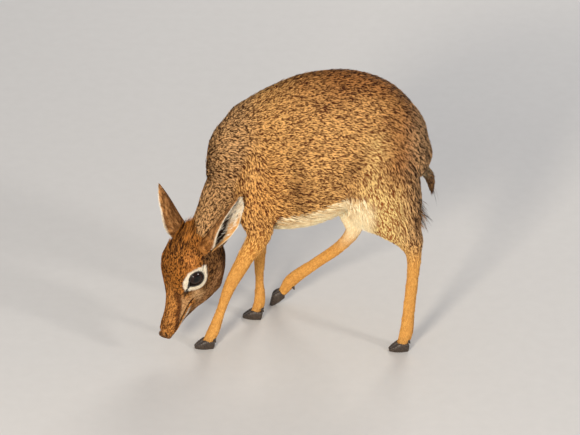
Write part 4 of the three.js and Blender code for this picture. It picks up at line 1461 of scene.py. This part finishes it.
IRIS = colour(34, 18, 11)
IRIS_EDGE = colour(12, 8, 6)
PUPIL = colour(6, 5, 5)
SCLERA = colour(30, 19, 15)
PUPIL_HALF = (5.8, 3.8)
IRIS_REACH = (8.0, 10.4)  # where the iris darkens and where its edge is darkest
WHITE_REACH = (10.8, 11.4)
CORNEA = 13.5  # the front of the eye bulges to the lids' edge from a middle that lies further out
CORNEA_AT = 2.6
SOCKET_HEIGHT, SOCKET_FALL = 13.05, 0.0085  # of the skin round the opening, which the lids don't sink under
LASH_TURNS = ((0.25, 2.75, 80), (-2.3, -0.6, 30))  # upper and lower lid: from, to and how many
UPPER_LASH, LOWER_LASH = 3.2, 1.8


def eyeball(hand, word):
    forward, upward, out = eye_frame(hand)
    sides = 128
    polar = np.concatenate([np.linspace(0, 1.2, 56), np.linspace(1.2, math.pi, 25)[1:]])
    rows = len(polar)
    turn = np.arange(sides) * 2 * math.pi / sides
    polar, turn = (g.ravel() for g in np.meshgrid(polar, turn, indexing="ij"))
    behind = smooth(1.0, 1.7, polar)
    radius = mix(CORNEA, EYE_RADIUS - 0.3, behind)
    reach = radius * np.sin(polar)
    high = radius * np.cos(polar) + CORNEA_AT * (1 - behind)
    flat = np.stack([reach * np.cos(turn), reach * np.sin(turn)], 1)
    points = eye_spot(hand) + flat[:, :1] * forward + flat[:, 1:] * upward + high[:, None] * out
    made = new_object(f"eyeball_{word}", points, ring_faces(rows, sides, turned=True), [WET])
    rays = noise(np.stack([np.cos(turn) * 7, np.sin(turn) * 7, reach * 0.25], 1), 1.0, 41)
    tint = mix(IRIS * 0.7, IRIS * 1.3, rays[:, None])
    tint = mix(tint, IRIS_EDGE, smooth(*IRIS_REACH, reach)[:, None])
    tint = mix(tint, SCLERA, smooth(*WHITE_REACH, reach)[:, None])
    off = np.hypot(flat[:, 0] / PUPIL_HALF[0], flat[:, 1] / PUPIL_HALF[1])
    pupil = smooth(1.06, 0.94, off) * (polar < 1.5)
    paint(made.data, mix(tint, PUPIL, pupil[:, None]))
    welded(made)
    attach(made, "root")
    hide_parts(f"eye_{word}")


def lid_path(hand, turn, grow=1.0, lift=0.0):
    """Places along the lids' edge, on the cornea or on the skin round it, whichever stands further out."""
    forward, upward, out = eye_frame(hand)
    ahead, above = (c * grow for c in almond(turn))
    reach = np.hypot(ahead, above)
    on_eye = np.sqrt(CORNEA ** 2 - np.minimum(reach, CORNEA - 1) ** 2) + CORNEA_AT
    high = np.maximum(on_eye + 0.4, SOCKET_HEIGHT - SOCKET_FALL * reach ** 2) + lift
    return eye_spot(hand) + np.outer(ahead, forward) + np.outer(above, upward) + np.outer(high, out)


def lid_rim(hand, word):
    steps, sides = 144, 10
    middle, axis = eye_spot(hand), eye_frame(hand)[2]
    turn = np.arange(steps) * 2 * math.pi / steps
    path = lid_path(hand, turn, 1.02)
    out = unit(path - middle)
    tangent = unit(np.roll(path, -1, 0) - np.roll(path, 1, 0))
    away = unit(np.cross(tangent, out)) * (1 if hand > 0 else -1)
    inward = unit(middle + np.dot(path - middle, axis)[:, None] * axis - path)
    away = away * -np.sign(np.sum(away * inward, 1, keepdims=True))
    ring = np.arange(sides) * 2 * math.pi / sides
    upper = smooth(-0.2, 0.5, np.sin(turn))
    wide, high = mix(0.8, 1.05, upper), mix(0.6, 0.8, upper)
    points = (path[:, None] + away[:, None] * (np.cos(ring)[None, :, None] * wide[:, None, None])
              + out[:, None] * (np.sin(ring)[None, :, None] * high[:, None, None])).reshape(-1, 3)
    faces = ring_faces(steps, sides, turned=True, closed=True)
    made = new_object(f"lid_rim_{word}", points, faces, [BARE])
    paint(made.data, mix(*FACE["dusk"], noise(points, 1.2, 43)[:, None]))
    welded(made)
    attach(made, "root")


def lashes(hand, word):
    rng = np.random.default_rng(SEED + hand + 90)
    turn = np.concatenate([rng.uniform(*lid) for lid in LASH_TURNS])
    number = len(turn)
    roots = lid_path(hand, turn, 1.04, 0.2)
    forward, upward, _ = eye_frame(hand)
    normals = unit(roots - eye_spot(hand))
    ahead, above = almond(turn)
    away = np.outer(ahead, forward) * 0.6 + np.outer(np.sign(above) * 7.0, upward)
    headings = unit(unit(away) + 0.5 * normals + rng.normal(0, 0.12, (number, 3)))
    long_ = np.where(above > 0, UPPER_LASH, LOWER_LASH) * rng.uniform(0.7, 1.2, number)
    patches = np.stack([0.1 + 0.8 * (turn + math.pi) / (2 * math.pi), np.full(number, 0.5)], 1)
    xyz = kites(roots, across_to(normals, headings), headings, long_, np.full(number, 0.45),
                np.full(number, 0.12), rng.normal(0, 0.4, number), sink=0.2)
    tints = np.tile(colour(22, 15, 12), (number, len(SHORT_UV), 1))
    tuft_piece(f"lashes_{word}", xyz, tints, patches, FACE_HAIR, rng)


for hand, word in ((1, "left"), (-1, "right")):
    eyeball(hand, word)
    lid_rim(hand, word)
    lashes(hand, word)


# Hooves and dewclaws, of dull horn with fine growth rings

GROWTH_RINGS, RING_HEIGHT, HORN_INSET = 55, 0.14, 0.12
DEWCLAW_SIDE, DEWCLAW_BACK, DEWCLAW_DOWN = 4.2, 5, 6  # of its root from the fetlock's middle
DEWCLAW_SIZES = [(2.2, 2.4, 2.4), (1.9, 2, 2), (1.1, 1, 1)]


def horn_piece(name, form, flat_sole):
    points = form.points.copy()
    rings = RING_HEIGHT * np.sin(form.share * GROWTH_RINGS + 0.8 * np.sin(form.around * 2))
    middle = np.repeat(points.reshape(-1, form.sides, 3).mean(1), form.sides, 0)
    points = points + unit(points - middle) * (rings - HORN_INSET)[:, None]
    if flat_sole:
        points[:, 2] = np.maximum(points[:, 2], 0.0)
    made = new_object(name, points, form.quads, [HORN])
    welded(made)
    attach(made, "root")
    return made


for foot, (toe, heading, dip) in FEET.items():
    level = np.array([-math.cos(heading), -math.sin(heading), 0])
    toeward = level * math.cos(dip) - np.array([0, 0, math.sin(dip)])
    across_foot = np.array([-math.sin(heading), math.cos(heading), 0])
    upward_foot = np.cross(across_foot, toeward)
    for hand, word in ((1, "right"), (-1, "left")):
        stations = [key(np.array(toe) + toeward * along + upward_foot * up
                        + across_foot * hand * (half[0] + CLAW_GAP / 2), half, square=2.8)
                    for (along, up), half in CLAW]
        form = Loft(stations, 48, 60, cap_from=2.5, cap_to=1, side=across_foot)
        made = horn_piece(f"claw_{foot}_{word}", form, True)
        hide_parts(f"hoof_{foot}_{word}")
    fetlock, end = np.array(LEGS[foot][-2]["at"]), np.array(LEGS[foot][-1]["at"])
    down_leg = unit(end - fetlock)
    backward = unit(np.cross((0, 1, 0), down_leg))
    backward = backward * (1 if backward[0] > 0 else -1)
    for hand, word in ((1, "right"), (-1, "left")):
        root = fetlock + down_leg * DEWCLAW_DOWN + backward * DEWCLAW_BACK
        root = root + np.array([0, hand * DEWCLAW_SIDE, 0])
        tip = root + backward * 5 + down_leg * 4
        stations = [key(at, half) for at, half in zip((root, mix(root, tip, 0.5), tip), DEWCLAW_SIZES)]
        horn_piece(f"dewclaw_{foot}_{word}", Loft(stations, 24, 16, cap_to=0.8), False)


# Scene: pale floor, soft studio light and the photograph's view

FLOOR_REACH = 12.0
WORLD_TONE, WORLD_POWER = (0.86, 0.9, 1.0, 1), 0.42
CHEST, BACK = (0, 0, 0.2), (0, 0, 0.25)
LAMPS = [  # name, place, aim, size, power and tone
    ("key", (-1.0, -2.6, 1.3), CHEST, 0.6, 68, (1.0, 0.9, 0.76)),
    ("front", (-0.35, -2.9, 0.55), CHEST, 0.55, 13, (1.0, 0.93, 0.84)),
    ("fill", (2.4, -1.4, 1.3), CHEST, 0.4, 22, (1.0, 0.95, 0.9)),
    ("rim", (0.8, 2.2, 1.7), BACK, 1.2, 26, (1.0, 0.95, 0.88)),
]
for name, spot, aim, size, power, tone in LAMPS:
    light_data = bpy.data.lights.new(name, "AREA")
    light_data.shape = "DISK"
    light_data.size = size
    light_data.energy = power
    light_data.color = tone
    made = placed(name, light_data)
    made.location = spot
    made.rotation_euler = (Vector(aim) - Vector(spot)).to_track_quat("-Z", "Y").to_euler()

floor_mesh = bpy.data.meshes.new("floor")
floor_corners = [(FLOOR_REACH * i, FLOOR_REACH * j, 0) for i, j in ((-1, -1), (1, -1), (1, 1), (-1, 1))]
floor_mesh.from_pydata(floor_corners, [], [(0, 1, 2, 3)])
floor = placed("floor", floor_mesh)
floor_material, floor_tree, floor_shader = node_material("floor_paper", 0.9, 0.1)
floor_stops = ((0, (0.66, 0.645, 0.62)), (1, (0.70, 0.685, 0.66)))
floor_place = add_node(floor_tree, "ShaderNodeTexCoord")
ramped(floor_tree, floor_shader, 60.0, 2.0, floor_stops, floor_place, "Object")
floor_mesh.materials.append(floor_material)

world = bpy.data.worlds.new("studio")
bpy.context.scene.world = world
world.use_nodes = True
world.node_tree.nodes["Background"].inputs["Color"].default_value = WORLD_TONE
world.node_tree.nodes["Background"].inputs["Strength"].default_value = WORLD_POWER
bpy.context.scene.view_settings.view_transform = "Standard"
bpy.context.scene.view_settings.look = "None"

CAMERA_DISTANCE = 5000
CAMERA_LIFT = math.radians(30)
FRAME_WIDTH = 783  # millimetres across the picture, at the target
SENSOR_WIDTH = 36
TARGET = np.array([-13.5, 0, 181.6])
camera_data = bpy.data.cameras.new("camera")
camera_data.sensor_fit = "HORIZONTAL"
camera_data.sensor_width = SENSOR_WIDTH
camera_data.lens = SENSOR_WIDTH * CAMERA_DISTANCE / FRAME_WIDTH
camera_data.clip_end = 50
camera = placed("camera", camera_data)
camera_place = TARGET + CAMERA_DISTANCE * np.array([0, -math.cos(CAMERA_LIFT), math.sin(CAMERA_LIFT)])
camera.location = metres(camera_place)
camera.rotation_euler = (math.pi / 2 - CAMERA_LIFT, 0, 0)
bpy.context.scene.camera = camera
